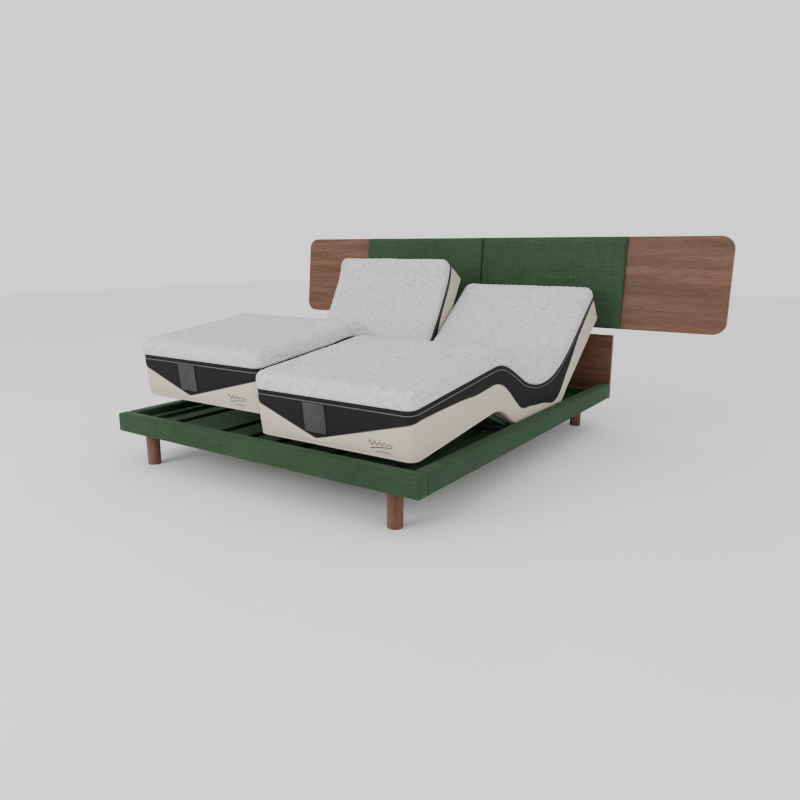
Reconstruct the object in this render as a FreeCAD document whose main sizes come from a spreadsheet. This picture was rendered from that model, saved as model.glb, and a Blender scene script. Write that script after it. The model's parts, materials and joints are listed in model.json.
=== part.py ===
import FreeCAD, Part
import os
import Sketcher

# A twin adjustable bed: an upholstered platform on four turned legs, a wide headboard behind it,
# and two independent adjustable decks, each with its own mattress.
# The frame's origin is on the floor, under the middle of the bed.  +X is across the bed, +Y is
# towards the head and +Z is up.  Each moving section is drawn flat in its own hinge's frame, and
# its placement then raises it to the angle it is kept at.

doc = FreeCAD.newDocument("AdjustableBed")
sheet = doc.addObject("Spreadsheet::Sheet", "dims")

SIZES = {
    # sizes the rest follows: one mattress, its gaps, and the lengths of its deck
    "mattress_width": 800,
    "middle_gap": 2,
    "side_gap": 8,
    "foot_gap": 60,
    "calf_length": 636,
    "thigh_length": 280,
    "seat_length": 504,
    "back_length": 580,
    "head_gap": 30,
    # platform
    "rail_top": 248,
    "rail_bottom": 158,
    "side_rail_thickness": 60,
    "platform_width": "=2 * (middle_gap + mattress_width + side_gap + side_rail_thickness)",
    "platform_length": "=foot_gap + calf_length + thigh_length + seat_length + back_length"
                       " + head_gap",
    "foot_rail_thickness": 58,
    "head_rail_thickness": 28,
    "head_rail_drop": 43,
    "rail_edge_round": 6,
    "beam_width": 50,
    "beam_bottom": 140,
    "floor_top": 213,
    "floor_thickness": 18,
    "floor_edge_width": 38,
    "floor_foot_width": 67,
    "floor_middle_width": 64,
    "board_thickness": 12,
    "board_end_gap": 21,
    "slot_half_width": 28,
    "lever_slot_half_width": 27,
    # legs
    "leg_radius": 33,
    "leg_taper": 2,
    "leg_inset": 155,
    "leg_front": 76,
    "leg_rear": 116,
    "leg_plate_length": 110,
    "leg_plate_width": 190,
    "leg_plate_thickness": 4,
    "leg_plate_inset": 20,
    # back panel, posts and headboard
    "panel_thickness": 25,
    "panel_top": 534,
    "post_depth": 70,
    "post_width": 60,
    "post_spacing": 900,
    "post_bottom": 170,
    "post_top": 1060,
    "headboard_width": 2938,
    "headboard_height": 525,
    "headboard_bottom": 573,
    "headboard_recline": 5,
    "board_depth": 30,
    "board_corner": 69,
    "cushion_width": 910,
    "cushion_depth": 28,
    "cushion_round": 9,
    "cushion_gap": 1,
    # decks
    "deck_side_margin": 40,
    "deck_centre": "=middle_gap + mattress_width / 2",
    "deck_width": "=mattress_width - 2 * deck_side_margin",
    "deck_thickness": 17.5,
    "deck_clearance": 2,
    "pivot_height": 186,
    "calf_deck_margin": 75,
    "back_deck_margin": 18,
    "seat_panel_gap": 20,
    "hinge_panel_gap": 25,
    "knee_panel_gap": 12,
    "frame_rail_inset": 110,
    "frame_rail_offset": "=deck_width / 2 - frame_rail_inset",
    "frame_rail_height": 28,
    "fixed_rail_width": 28,
    "moving_rail_width": 30,
    "calf_rail_width": 32,
    "rail_end_overlap": 8,
    "hinge_rail_gap": 16,
    "knee_rail_gap": 30,
    "rail_far_margin": 21,
    "ear_thickness": 6,
    "ear_radius": 9,
    "pin_radius": 6,
    "pin_clearance": 0.05,
    "cross_tube": 28,
    # drives
    "drive_offset": 70,
    "drive_reach": 380,
    "drive_drop": 86,
    "drive_width": 56,
    "drive_height": 46,
    "drive_tail": 16,
    "drive_length": 250,
    "drive_round": 6,
    "drive_pin_radius": 8,
    "bore_start": 100,
    "rod_radius": 10,
    "rod_clearance": 0.1,
    "rod_length": 230,
    "rod_eye_radius": 13,
    "rod_eye_width": 22,
    "lever_back": 40,
    "lever_drop": 100,
    "lever_gap": 14,
    "lever_thickness": 6,
    "lever_radius": 15,
    "lever_foot": 110,
    "bracket_gap": 30,
    "bracket_thickness": 6,
    "bracket_half_length": 20,
    "bracket_radius": 14,
    # mattresses
    "mattress_thickness": 280,
    "seat_thickness": 240,
    "head_thickness": 228,
    "mattress_lift": 29,
    "mattress_round": 30,
    "hip_low_cut": 25,
    "hip_high_cut": 195,
    "thigh_low_cut": 18,
    "thigh_high_cut": 140,
    "knee_cut": 4,
    "head_start": 35,
    # the angles each side is kept at
    "left_back_angle": 59,
    "left_thigh_angle": 40,
    "left_calf_slope": 6.3,
    "left_slide_per_radian": 190,
    "right_back_angle": 37.7,
    "right_thigh_angle": 23.2,
    "right_calf_slope": 6.5,
    "right_slide_per_radian": 225,
}
for row, (name, value) in enumerate(SIZES.items(), start=1):
    sheet.set(f"A{row}", str(value))
    sheet.setAlias(f"A{row}", name)
doc.recompute()

nodes = []


def size(text):
    """Turns the plain names of an expression into cells of the sheet."""
    words = sorted(SIZES, key=len, reverse=True)
    for number, word in enumerate(words):
        text = text.replace(word, f"<{number}>")
    for number, word in enumerate(words):
        text = text.replace(f"<{number}>", f"dims.{word}")
    return text


def bind(item, **expressions):
    for name, text in expressions.items():
        item.setExpression(name.replace("_", "."), size(str(text)))
    return item


def node(item, label):
    item.Label = label
    nodes.append(item)
    return item


# Places along the bed, as expressions.
FOOT = "(-(platform_length + panel_thickness + post_depth) / 2)"
PANEL_FRONT = f"({FOOT} + platform_length)"
INNER_X = "(platform_width / 2 - side_rail_thickness)"
KNEE = f"({FOOT} + foot_gap + calf_length)"
THIGH = f"({KNEE} + thigh_length)"
HIP = f"({THIGH} + seat_length)"
FLOOR_LOW = "(floor_top - floor_thickness)"
BOARD_LOW = "(floor_top - floor_thickness - board_thickness)"
DECK_LOW = "(floor_top - floor_thickness + deck_clearance)"
RAIL_HIGH = "(floor_top - floor_thickness)"
RAIL_LOW = "(floor_top - floor_thickness - frame_rail_height)"


def box(low, high):
    """A box between two corners, each given as three expressions."""
    item = doc.addObject("Part::Box", "Box")
    bind(item, Length=f"{high[0]} - ({low[0]})", Width=f"{high[1]} - ({low[1]})",
         Height=f"{high[2]} - ({low[2]})")
    bind(item, Placement_Base_x=low[0], Placement_Base_y=low[1], Placement_Base_z=low[2])
    return item


def rod_along_x(radius, low, high, y, z):
    """A round bar across the bed, from x low to x high."""
    item = doc.addObject("Part::Cylinder", "Bar")
    bind(item, Radius=radius, Height=f"{high} - ({low})")
    bind(item, Placement=f"placement(vector({low}; {y}; {z}); rotation(vector(0; 1; 0); 90))")
    return item


def rod_along_y(radius, x, low, high, z):
    """A round bar along the bed, from y low to y high."""
    item = doc.addObject("Part::Cylinder", "Bar")
    bind(item, Radius=radius, Height=f"{high} - ({low})")
    bind(item, Placement=f"placement(vector({x}; {low}; {z}); rotation(vector(1; 0; 0); -90))")
    return item


def plate(points, x_low, x_high):
    """A plate of even thickness across X, whose outline is given as (y, z) expressions."""
    body = doc.addObject("PartDesign::Body", "Plate")
    sketch = body.newObject("Sketcher::SketchObject", "Outline")
    plane = [part for part in body.Origin.OriginFeatures if part.Role == "YZ_Plane"][0]
    sketch.AttachmentSupport = [(plane, "")]
    sketch.MapMode = "FlatFace"
    corners = [tuple(value_of(text) for text in point) for point in points]
    count = len(points)
    for start in range(count):
        low = FreeCAD.Vector(*corners[start], 0)
        high = FreeCAD.Vector(*corners[(start + 1) % count], 0)
        sketch.addGeometry(Part.LineSegment(low, high), False)
    for start in range(count):
        sketch.addConstraint(Sketcher.Constraint("Coincident", start, 2, (start + 1) % count, 1))
    for start, point in enumerate(points):
        for axis, kind in enumerate(("DistanceX", "DistanceY")):
            rule = Sketcher.Constraint(kind, -1, 1, start, 1, corners[start][axis])
            sketch.setExpression(f"Constraints[{sketch.addConstraint(rule)}]", size(point[axis]))
    sketch.setExpression("AttachmentOffset.Base.z", size(x_low))
    pad = body.newObject("PartDesign::Pad", "Thickness")
    pad.Profile = sketch
    pad.setExpression("Length", size(f"{x_high} - ({x_low})"))
    return body


def value_of(text):
    """The number that an expression of the sheet gives now."""
    probe = doc.getObject("probe") or doc.addObject("App::FeaturePython", "probe")
    if "value" not in probe.PropertiesList:
        probe.addProperty("App::PropertyFloat", "value")
    probe.setExpression("value", size(text))
    probe.recompute()
    return probe.value


def fuse(items):
    joined = doc.addObject("Part::MultiFuse", "Welded")
    joined.Shapes = items
    joined.Refine = True
    return joined


def cut(base, tool):
    item = doc.addObject("Part::Cut", "Cut")
    item.Base = base
    item.Tool = tool
    return item


def group(items):
    item = doc.addObject("Part::Compound", "Pair")
    item.Links = items
    return item


def rounded(item, radius, wanted):
    """Rounds the edges of item that the test wants, by their middle and direction."""
    doc.recompute()
    edges = []
    for number, edge in enumerate(item.Shape.Edges, start=1):
        middle = edge.valueAt((edge.FirstParameter + edge.LastParameter) / 2)
        if wanted(middle, edge.tangentAt(edge.FirstParameter), item.Shape.BoundBox):
            edges.append((number, value_of(radius), value_of(radius)))
    smooth = doc.addObject("Part::Fillet", "Rounded")
    smooth.Base = item
    smooth.Edges = edges
    return smooth


def stand(item, y, z, angle):
    """Lays a piece drawn in a hinge's frame at that hinge, raised to its angle."""
    bind(item, Placement=f"placement(vector(0; {y}; {z}); rotation(vector(1; 0; 0); {angle}))")
    return item



# ---- platform ---------------------------------------------------------------------------------
HALF = "(platform_width / 2)"
RAIL_REAR = PANEL_FRONT


def every_edge(middle, direction, extent):
    return True


foot_rail = box((f"-{HALF}", FOOT, "rail_bottom"),
                (HALF, f"{FOOT} + foot_rail_thickness", "rail_top"))
node(rounded(foot_rail, "rail_edge_round", every_edge), "foot_rail")
for side in ("left", "right"):
    low, high = (f"-{HALF}", f"-{INNER_X}") if side == "left" else (INNER_X, HALF)
    rail = box((low, f"{FOOT} + foot_rail_thickness", "rail_bottom"), (high, RAIL_REAR, "rail_top"))
    node(rounded(rail, "rail_edge_round", every_edge), f"side_rail_{side}")
HEAD_RAIL_FRONT = f"({PANEL_FRONT} - head_rail_thickness)"
node(box((f"-{INNER_X}", HEAD_RAIL_FRONT, "rail_bottom"),
         (INNER_X, PANEL_FRONT, "rail_top - head_rail_drop")), "head_rail")
node(box(("-beam_width / 2", f"{FOOT} + foot_rail_thickness", "beam_bottom"),
         ("beam_width / 2", HEAD_RAIL_FRONT, FLOOR_LOW)), "centre_beam")

# The upholstered floor: a strip inside each rail and one between the two decks.
EDGE_IN = f"({INNER_X} - floor_edge_width)"
FOOT_IN = f"({FOOT} + foot_rail_thickness)"
FLOOR_FOOT = f"({FOOT_IN} + floor_foot_width)"
node(box((f"-{EDGE_IN}", FOOT_IN, FLOOR_LOW), (EDGE_IN, FLOOR_FOOT, "floor_top")), "floor_foot")
node(box((f"-{INNER_X}", FOOT_IN, FLOOR_LOW), (f"-{EDGE_IN}", HEAD_RAIL_FRONT, "floor_top")),
     "floor_edge_left")
node(box((EDGE_IN, FOOT_IN, FLOOR_LOW), (INNER_X, HEAD_RAIL_FRONT, "floor_top")),
     "floor_edge_right")
node(box(("-floor_middle_width / 2", FLOOR_FOOT, FLOOR_LOW),
         ("floor_middle_width / 2", HEAD_RAIL_FRONT, "floor_top")), "floor_middle")

# Turned legs, each with a steel plate that is screwed up into the rails.
for end, across in ((end, across) for end in ("front", "rear") for across in ("left", "right")):
    sign = "-1" if across == "left" else "1"
    y = f"({FOOT} + leg_front)" if end == "front" else f"({PANEL_FRONT} - leg_rear)"
    post = doc.addObject("Part::Cone", "Leg")
    bind(post, Radius1="leg_radius - leg_taper", Radius2="leg_radius", Height="rail_bottom",
         Placement_Base_x=f"{sign} * ({HALF} - leg_inset)", Placement_Base_y=y)
    reach = f"({HALF} - leg_plate_inset)"
    low, high = (f"-{reach}", f"-{reach} + leg_plate_width")
    if across == "right":
        low, high = (f"{reach} - leg_plate_width", reach)
    flange = box((low, f"{y} - leg_plate_length / 2", "rail_bottom - leg_plate_thickness"),
                 (high, f"{y} + leg_plate_length / 2", "rail_bottom"))
    node(fuse([post, flange]), f"leg_{end}_{across}")

# ---- back panel, posts and headboard ----------------------------------------------------------
node(box((f"-{HALF}", PANEL_FRONT, "rail_bottom"),
         (HALF, f"{PANEL_FRONT} + panel_thickness", "panel_top")), "head_panel")
RECLINE = "(-headboard_recline)"
CUSHIONS = "(cushion_width + cushion_gap)"


def lean(item):
    return stand(item, PANEL_FRONT, "headboard_bottom", RECLINE)


middle_board = box((f"-{CUSHIONS}", "0", "0"), (CUSHIONS, "board_depth", "headboard_height"))
node(lean(group([middle_board])), "headboard_middle")
for side in ("left", "right"):
    tip = "(headboard_width / 2)"
    low, high = (f"-{tip}", f"-{CUSHIONS}") if side == "left" else (CUSHIONS, tip)
    wing = box((low, "0", "0"), (high, "board_depth", "headboard_height"))

    def tip_corner(middle, direction, extent, side=side):
        end = extent.XMin if side == "left" else extent.XMax
        return abs(direction.y) > 0.9 and abs(middle.x - end) < 1

    node(lean(rounded(wing, "board_corner", tip_corner)), f"headboard_wing_{side}")
    low, high = ("-cushion_width - cushion_gap", "-cushion_gap")
    if side == "right":
        low, high = ("cushion_gap", "cushion_width + cushion_gap")
    pad = box((low, "-cushion_depth", "0"), (high, "0", "headboard_height"))

    def front_edge(middle, direction, extent):
        return abs(middle.y - extent.YMin) < 1

    node(lean(rounded(pad, "cushion_round", front_edge)), f"headboard_cushion_{side}")
for side, sign in (("left", "-1"), ("right", "1")):
    middle = f"({sign} * post_spacing / 2)"
    REAR = f"({PANEL_FRONT} + panel_thickness)"
    post = box((f"{middle} - post_width / 2", REAR, "post_bottom"),
               (f"{middle} + post_width / 2", f"{REAR} + post_depth", "post_top"))
    space = box((f"{middle} - post_width", "-post_depth", "-cushion_depth"),
                (f"{middle} + post_width", "board_depth", "headboard_height + post_depth"))
    node(cut(post, lean(group([space]))), f"headboard_post_{side}")

# ---- the two adjustable decks -----------------------------------------------------------------
RAIL_TOP_LOCAL = f"({RAIL_HIGH} - pivot_height)"
RAIL_LOW_LOCAL = f"({RAIL_LOW} - pivot_height)"
PANEL_LOW_LOCAL = f"({DECK_LOW} - pivot_height)"
PANEL_HIGH_LOCAL = f"({DECK_LOW} + deck_thickness - pivot_height)"
MATTRESS_LOW = "mattress_lift"
MATTRESS_HIGH = "(mattress_lift + mattress_thickness)"


def ear(x, inward, half_width, pivot_y, reach):
    """A lug on a rail's inner face that runs past the rail's end to the hinge pin, with its
    hole.  x is the rail's middle and inward is -1 or 1, towards the middle of the deck."""
    near = f"({x} + ({inward}) * {half_width})"
    far = f"({x} + ({inward}) * ({half_width} + ear_thickness))"
    low, high = (near, far) if inward == 1 else (far, near)
    start, stop = (pivot_y, reach) if value_of(reach) > value_of(pivot_y) else (reach, pivot_y)
    strap = box((low, start, "-ear_radius"), (high, stop, "ear_radius"))
    eye = rod_along_x("ear_radius", low, high, pivot_y, "0")
    return strap, eye


for side, sign in (("left", -1), ("right", 1)):
    CENTRE = f"({sign} * deck_centre)"
    BACK = f"{side}_back_angle"
    RAISED = f"{side}_thigh_angle"
    SLOPE = f"{side}_calf_slope"
    KNEE_Y = f"({THIGH} - thigh_length * cos({RAISED} * 1deg))"
    KNEE_Z = f"(pivot_height + thigh_length * sin({RAISED} * 1deg))"
    across = (f"{CENTRE} - deck_width / 2", f"{CENTRE} + deck_width / 2")
    bed = (f"{CENTRE} - mattress_width / 2", f"{CENTRE} + mattress_width / 2")
    rails = ((f"({CENTRE} - frame_rail_offset)", 1), (f"({CENTRE} + frame_rail_offset)", -1))
    HEAD_DRIVE = f"({CENTRE} + {sign} * drive_offset)"
    FOOT_DRIVE = f"({CENTRE} - {sign} * drive_offset)"

    # The fixed floor boards at the foot, with slots for the moving rails and the foot drive.
    lanes = [("beam_width / 2", "deck_centre - frame_rail_offset - slot_half_width"),
             ("deck_centre - frame_rail_offset + slot_half_width",
              "deck_centre - drive_offset - lever_slot_half_width"),
             ("deck_centre - drive_offset + lever_slot_half_width",
              "deck_centre + frame_rail_offset - slot_half_width"),
             ("deck_centre + frame_rail_offset + slot_half_width", INNER_X)]
    boards = []
    for inner, outer in lanes:
        low, high = (inner, outer) if sign == 1 else (f"-({outer})", f"-({inner})")
        boards.append(box((low, FOOT_IN, BOARD_LOW), (high, f"{THIGH} - board_end_gap", FLOOR_LOW)))
    node(group(boards), f"floor_boards_{side}")

    # The fixed base frame under the seat, with the hinge pins and the drives' brackets.
    pieces = []
    for x, inward in rails:
        pieces.append(box((f"{x} - fixed_rail_width / 2", f"{THIGH} - rail_end_overlap", RAIL_LOW),
                          (f"{x} + fixed_rail_width / 2", f"{HIP} + rail_end_overlap", RAIL_HIGH)))
        tip = f"({x} + ({inward}) * (moving_rail_width / 2 + ear_thickness + pin_radius / 2))"
        low, high = (x, tip) if inward == 1 else (tip, x)
        for y in (THIGH, HIP):
            pieces.append(rod_along_x("pin_radius", low, high, y, "pivot_height"))
    wall = (f"{sign} * beam_width / 2", f"{sign} * {INNER_X}")
    low, high = wall if sign == 1 else wall[::-1]
    DRIVE_Z = "(pivot_height - drive_drop)"
    for x, y in ((HEAD_DRIVE, f"({HIP} - drive_reach)"), (FOOT_DRIVE, f"({THIGH} + drive_reach)")):
        pieces.append(box((low, f"{y} - cross_tube / 2", f"{RAIL_LOW} - cross_tube"),
                          (high, f"{y} + cross_tube / 2", RAIL_LOW)))
        for inner, outer in (("-bracket_gap - bracket_thickness", "-bracket_gap"),
                             ("bracket_gap", "bracket_gap + bracket_thickness")):
            near, far = f"({x} + {inner})", f"({x} + {outer})"
            pieces.append(box((near, f"{y} - cross_tube / 2", DRIVE_Z),
                              (far, f"{y} + cross_tube / 2", f"{RAIL_LOW} - cross_tube / 2")))
            pieces.append(rod_along_x("bracket_radius", near, far, y, DRIVE_Z))
        pieces.append(rod_along_x("drive_pin_radius", f"({x} - bracket_gap - bracket_thickness)",
                                  f"({x} + bracket_gap + bracket_thickness)", y, DRIVE_Z))
    node(fuse(pieces), f"base_frame_{side}")
    node(box((across[0], f"{THIGH} + seat_panel_gap", DECK_LOW),
             (across[1], f"{HIP} - seat_panel_gap", f"{DECK_LOW} + deck_thickness")),
         f"seat_panel_{side}")

    def section(low_y, high_y, rail_low, rail_high, half_width, pivot_y, reach):
        """A moving section's panel and its two rails, in the section's own hinge frame."""
        panel = box((across[0], low_y, PANEL_LOW_LOCAL), (across[1], high_y, PANEL_HIGH_LOCAL))
        bars = []
        for x, inward in rails:
            bar = box((f"{x} - {half_width}", rail_low, RAIL_LOW_LOCAL),
                      (f"{x} + {half_width}", rail_high, RAIL_TOP_LOCAL))
            strap, eye = ear(x, inward, half_width, pivot_y, reach)
            hole = rod_along_x("pin_radius + pin_clearance", f"{x} - frame_rail_offset / 2",
                               f"{x} + frame_rail_offset / 2", pivot_y, "0")
            bars.append(cut(fuse([bar, strap, eye]), hole))
        return group([panel]), bars

    # Back section.
    panel, bars = section("hinge_panel_gap", "back_length - back_deck_margin",
                          "hinge_rail_gap", "back_length - back_deck_margin - rail_far_margin",
                          "moving_rail_width / 2", "0", "hinge_rail_gap + rail_far_margin")
    node(stand(panel, HIP, "pivot_height", BACK), f"back_panel_{side}")
    node(stand(group(bars), HIP, "pivot_height", BACK), f"back_rails_{side}")

    # Thigh section, with the pins that carry the calf section at its far end.
    panel, bars = section("-thigh_length + knee_panel_gap", "-hinge_panel_gap",
                          "-thigh_length - rail_end_overlap", "-hinge_rail_gap",
                          "moving_rail_width / 2", "0", "-hinge_rail_gap - rail_far_margin")
    pinned = []
    for bar, (x, inward) in zip(bars, rails):
        tip = f"({x} + ({inward}) * (calf_rail_width / 2 + ear_thickness + pin_radius / 2))"
        low, high = (x, tip) if inward == 1 else (tip, x)
        pinned.append(fuse([bar, rod_along_x("pin_radius", low, high, "-thigh_length", "0")]))
    node(stand(panel, THIGH, "pivot_height", f"(-{RAISED})"), f"thigh_panel_{side}")
    node(stand(group(pinned), THIGH, "pivot_height", f"(-{RAISED})"), f"thigh_rails_{side}")

    # Calf section.
    panel, bars = section("-calf_length + calf_deck_margin", "-knee_panel_gap",
                          "-calf_length + calf_deck_margin + rail_far_margin", "-knee_rail_gap",
                          "calf_rail_width / 2", "0", "-knee_rail_gap - rail_far_margin")
    node(stand(panel, KNEE_Y, KNEE_Z, SLOPE), f"calf_panel_{side}")
    node(stand(group(bars), KNEE_Y, KNEE_Z, SLOPE), f"calf_rails_{side}")

    # Each drive: a housing that tilts on its bracket, a rod that slides out of it, and a lever of
    # two plates under the panel that the rod's eye pushes.
    for name, x, way, hinge, angle, tilt in (
            ("head", HEAD_DRIVE, 1, HIP, BACK, BACK),
            ("foot", FOOT_DRIVE, -1, THIGH, RAISED, f"(-{RAISED})")):
        eye_y, eye_z = f"({-way} * lever_back)", "(-lever_drop)"
        top_near, top_far = f"({way} * (hinge_panel_gap + 5))", f"({way} * lever_foot)"
        top = PANEL_LOW_LOCAL
        outline = [(top_near, top), (top_far, top),
                   (f"{eye_y} + {way} * lever_radius", f"{eye_z} - lever_radius / 2"),
                   (f"{eye_y} - {way} * lever_radius / 2", f"{eye_z} - lever_radius / 2"),
                   (f"{eye_y} - {way} * lever_radius / 2", f"{eye_z} + lever_radius")]
        cheeks = []
        for low, high in (("-lever_gap - lever_thickness", "-lever_gap"),
                          ("lever_gap", "lever_gap + lever_thickness")):
            cheeks.append(plate(outline, f"{x} + {low}", f"{x} + {high}"))
        owner = "back" if name == "head" else "thigh"
        node(stand(group(cheeks), hinge, "pivot_height", tilt), f"{owner}_lever_{side}")
        root_y = f"({hinge} - {way} * drive_reach)"
        sine, cosine = f"sin({tilt} * 1deg)", f"cos({tilt} * 1deg)"
        end_y = f"({hinge} + {eye_y} * {cosine} - {eye_z} * {sine})"
        end_z = f"(pivot_height + {eye_y} * {sine} + {eye_z} * {cosine})"
        aim = f"atan2({end_z} - {DRIVE_Z}; {way} * ({end_y} - {root_y}))"
        turn = f"({way} * {aim})"
        low_y, high_y = ("-drive_tail", "drive_length") if way == 1 else ("-drive_length",
                                                                          "drive_tail")
        shell = box((f"{x} - drive_width / 2", low_y, "-drive_height / 2"),
                    (f"{x} + drive_width / 2", high_y, "drive_height / 2"))
        pin_hole = rod_along_x("drive_pin_radius + pin_clearance", f"{x} - drive_width",
                               f"{x} + drive_width", "0", "0")
        start, stop = ("bore_start", "2 * drive_length")
        if way == -1:
            start, stop = ("-2 * drive_length", "-bore_start")
        bore = rod_along_y("rod_radius + rod_clearance", x, start, stop, "0")

        def long_edge(middle, direction, extent):
            return abs(direction.y) > 0.9

        housing = cut(cut(rounded(shell, "drive_round", long_edge), pin_hole), bore)
        node(stand(housing, root_y, DRIVE_Z, turn), f"{name}_drive_{side}")
        start, stop = ("-rod_length", "0") if way == 1 else ("0", "rod_length")
        shaft = rod_along_y("rod_radius", x, start, stop, "0")
        eye = rod_along_x("rod_eye_radius", f"{x} - rod_eye_width / 2",
                          f"{x} + rod_eye_width / 2", "0", "0")
        node(stand(fuse([shaft, eye]), end_y, end_z, turn), f"{name}_rod_{side}")

    # The mattress, in four lengths that each stay clear of the next at every angle.
    seat_outline = [(f"{THIGH} + thigh_low_cut", "pivot_height + mattress_lift"),
                    (f"{HIP} - hip_low_cut", "pivot_height + mattress_lift"),
                    (f"{HIP} - hip_high_cut", "pivot_height + mattress_lift + seat_thickness"),
                    (f"{THIGH} + thigh_high_cut", "pivot_height + mattress_lift + seat_thickness")]
    node(plate(seat_outline, bed[0], bed[1]), f"mattress_seat_{side}")
    thigh_outline = [("-thigh_length + knee_cut", MATTRESS_LOW),
                     ("-thigh_low_cut", MATTRESS_LOW),
                     ("-thigh_high_cut", MATTRESS_HIGH),
                     ("-thigh_length + knee_cut", MATTRESS_HIGH)]
    node(stand(plate(thigh_outline, bed[0], bed[1]), THIGH, "pivot_height", f"(-{RAISED})"),
         f"mattress_thigh_{side}")

    def end_edges(middle, direction, extent):
        at_foot = middle.y < extent.YMin + 1 and middle.y < -100
        at_head = middle.y > extent.YMax - 1 and middle.y > 100
        low_rear = at_head and middle.z < extent.ZMin + 1
        return ((at_foot or at_head) and abs(direction.z) > 0.9) or low_rear

    calf = box((bed[0], "-calf_length", MATTRESS_LOW), (bed[1], "-knee_cut", MATTRESS_HIGH))
    node(stand(rounded(calf, "mattress_round", end_edges), KNEE_Y, KNEE_Z, SLOPE),
         f"mattress_calf_{side}")
    slide = f"({BACK} / 180 * pi * {side}_slide_per_radian)"
    head = box((bed[0], f"head_start + {slide}", MATTRESS_LOW),
               (bed[1], f"back_length + {slide}", "mattress_lift + head_thickness"))
    node(stand(rounded(head, "mattress_round", end_edges), HIP, "pivot_height", BACK),
         f"mattress_head_{side}")

doc.recompute()

failed = [item.Name for item in doc.Objects if "Invalid" in item.State or "Error" in item.State]
failed += [item.Label for item in nodes if item.Shape.isNull() or not item.Shape.isValid()]
if failed:
    raise SystemExit("not built: " + ", ".join(failed))

os.makedirs("parts", exist_ok=True)
for item in nodes:
    item.Shape.exportStep(f"parts/{item.Label}.step")
print(len(nodes), "pieces written")
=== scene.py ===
# %% [markdown]
# # A twin adjustable bed
# The bed is an upholstered platform on turned legs, a wide reclined headboard, and two decks that
# raise the back, thighs and calves of a mattress each.  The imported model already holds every
# frame piece at its true place, so this lesson only dresses it: it wraps the rails in cloth,
# turns the legs, veneers the boards, blows up the cushions and lays the two mattresses.

# %% Load the frame
import json
import math
import bmesh
import bpy
import numpy as np
from mathutils import Matrix, Vector


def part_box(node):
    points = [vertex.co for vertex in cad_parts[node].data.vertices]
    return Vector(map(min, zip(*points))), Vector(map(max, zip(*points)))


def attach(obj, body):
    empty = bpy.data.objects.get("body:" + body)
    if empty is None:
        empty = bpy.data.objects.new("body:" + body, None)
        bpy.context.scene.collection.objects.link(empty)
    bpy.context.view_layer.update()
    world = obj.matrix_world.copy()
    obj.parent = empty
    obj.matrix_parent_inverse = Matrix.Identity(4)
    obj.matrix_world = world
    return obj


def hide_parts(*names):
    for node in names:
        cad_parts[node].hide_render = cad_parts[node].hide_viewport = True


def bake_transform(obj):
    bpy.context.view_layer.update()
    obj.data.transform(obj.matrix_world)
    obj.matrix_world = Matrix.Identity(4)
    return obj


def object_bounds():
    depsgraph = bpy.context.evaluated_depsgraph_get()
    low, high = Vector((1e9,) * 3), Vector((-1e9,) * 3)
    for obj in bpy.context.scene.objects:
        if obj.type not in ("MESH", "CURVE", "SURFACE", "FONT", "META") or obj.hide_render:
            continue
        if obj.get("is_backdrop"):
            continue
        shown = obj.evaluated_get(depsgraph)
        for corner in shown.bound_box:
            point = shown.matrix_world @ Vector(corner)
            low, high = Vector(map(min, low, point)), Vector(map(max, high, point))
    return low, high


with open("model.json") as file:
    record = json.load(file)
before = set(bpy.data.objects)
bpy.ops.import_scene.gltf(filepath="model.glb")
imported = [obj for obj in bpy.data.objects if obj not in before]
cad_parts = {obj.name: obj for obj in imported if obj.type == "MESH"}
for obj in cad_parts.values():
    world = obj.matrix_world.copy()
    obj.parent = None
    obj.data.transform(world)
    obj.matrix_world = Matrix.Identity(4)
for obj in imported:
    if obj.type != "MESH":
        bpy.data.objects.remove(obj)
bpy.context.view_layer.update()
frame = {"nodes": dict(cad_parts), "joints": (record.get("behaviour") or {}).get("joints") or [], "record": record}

nodes = frame["nodes"]
joints = {joint["name"]: joint for joint in frame["joints"]}
SIDES = {"left": -1, "right": 1}

# %% [markdown]
# The camera stands at the foot of the bed, to its right, and looks a little down.  It is made
# first, because everything after it is judged through it.

# %% Camera
CAMERA_PLACE = (2.1201, -3.0656, 1.0327)
CAMERA_TURN = math.radians(34.311)
CAMERA_DOWN = math.radians(12.231)
camera_data = bpy.data.cameras.new("camera")
camera_data.lens = 31.48
camera_data.sensor_width = 36
camera_data.shift_x = 0.0042
camera_data.shift_y = -0.0006
camera = bpy.data.objects.new("camera", camera_data)
camera.location = CAMERA_PLACE
camera.rotation_euler = (math.pi / 2 - CAMERA_DOWN, 0, CAMERA_TURN)
bpy.context.scene.collection.objects.link(camera)
bpy.context.scene.camera = camera
print("camera", tuple(camera.location))

# %% [markdown]
# Soft studio light: a pale world fills every shadow, one large lamp overhead and to the left
# gives the tops their brightness, and a weaker one by the camera keeps the front faces readable.

# %% Light and floor
world = bpy.data.worlds.new("studio")
world.use_nodes = True
world.node_tree.nodes["Background"].inputs["Color"].default_value = (1, 1, 1, 1)
world.node_tree.nodes["Background"].inputs["Strength"].default_value = 1.3
bpy.context.scene.world = world


def lamp(name, place, aim, width, power):
    """A square area lamp at place that points at aim."""
    data = bpy.data.lights.new(name, "AREA")
    data.shape = "SQUARE"
    data.size = width
    data.energy = power
    item = bpy.data.objects.new(name, data)
    item.location = place
    item.rotation_euler = (Vector(aim) - Vector(place)).to_track_quat("-Z", "Y").to_euler()
    bpy.context.scene.collection.objects.link(item)
    return item


lamp("key", (-1.6, -5.6, 2.3), (0, 0, 0.5), 2.6, 170)
lamp("fill", (4.4, -2.6, 1.9), (0.2, 0, 0.4), 2.4, 40)
FLOOR_SPAN = 14.0


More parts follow.
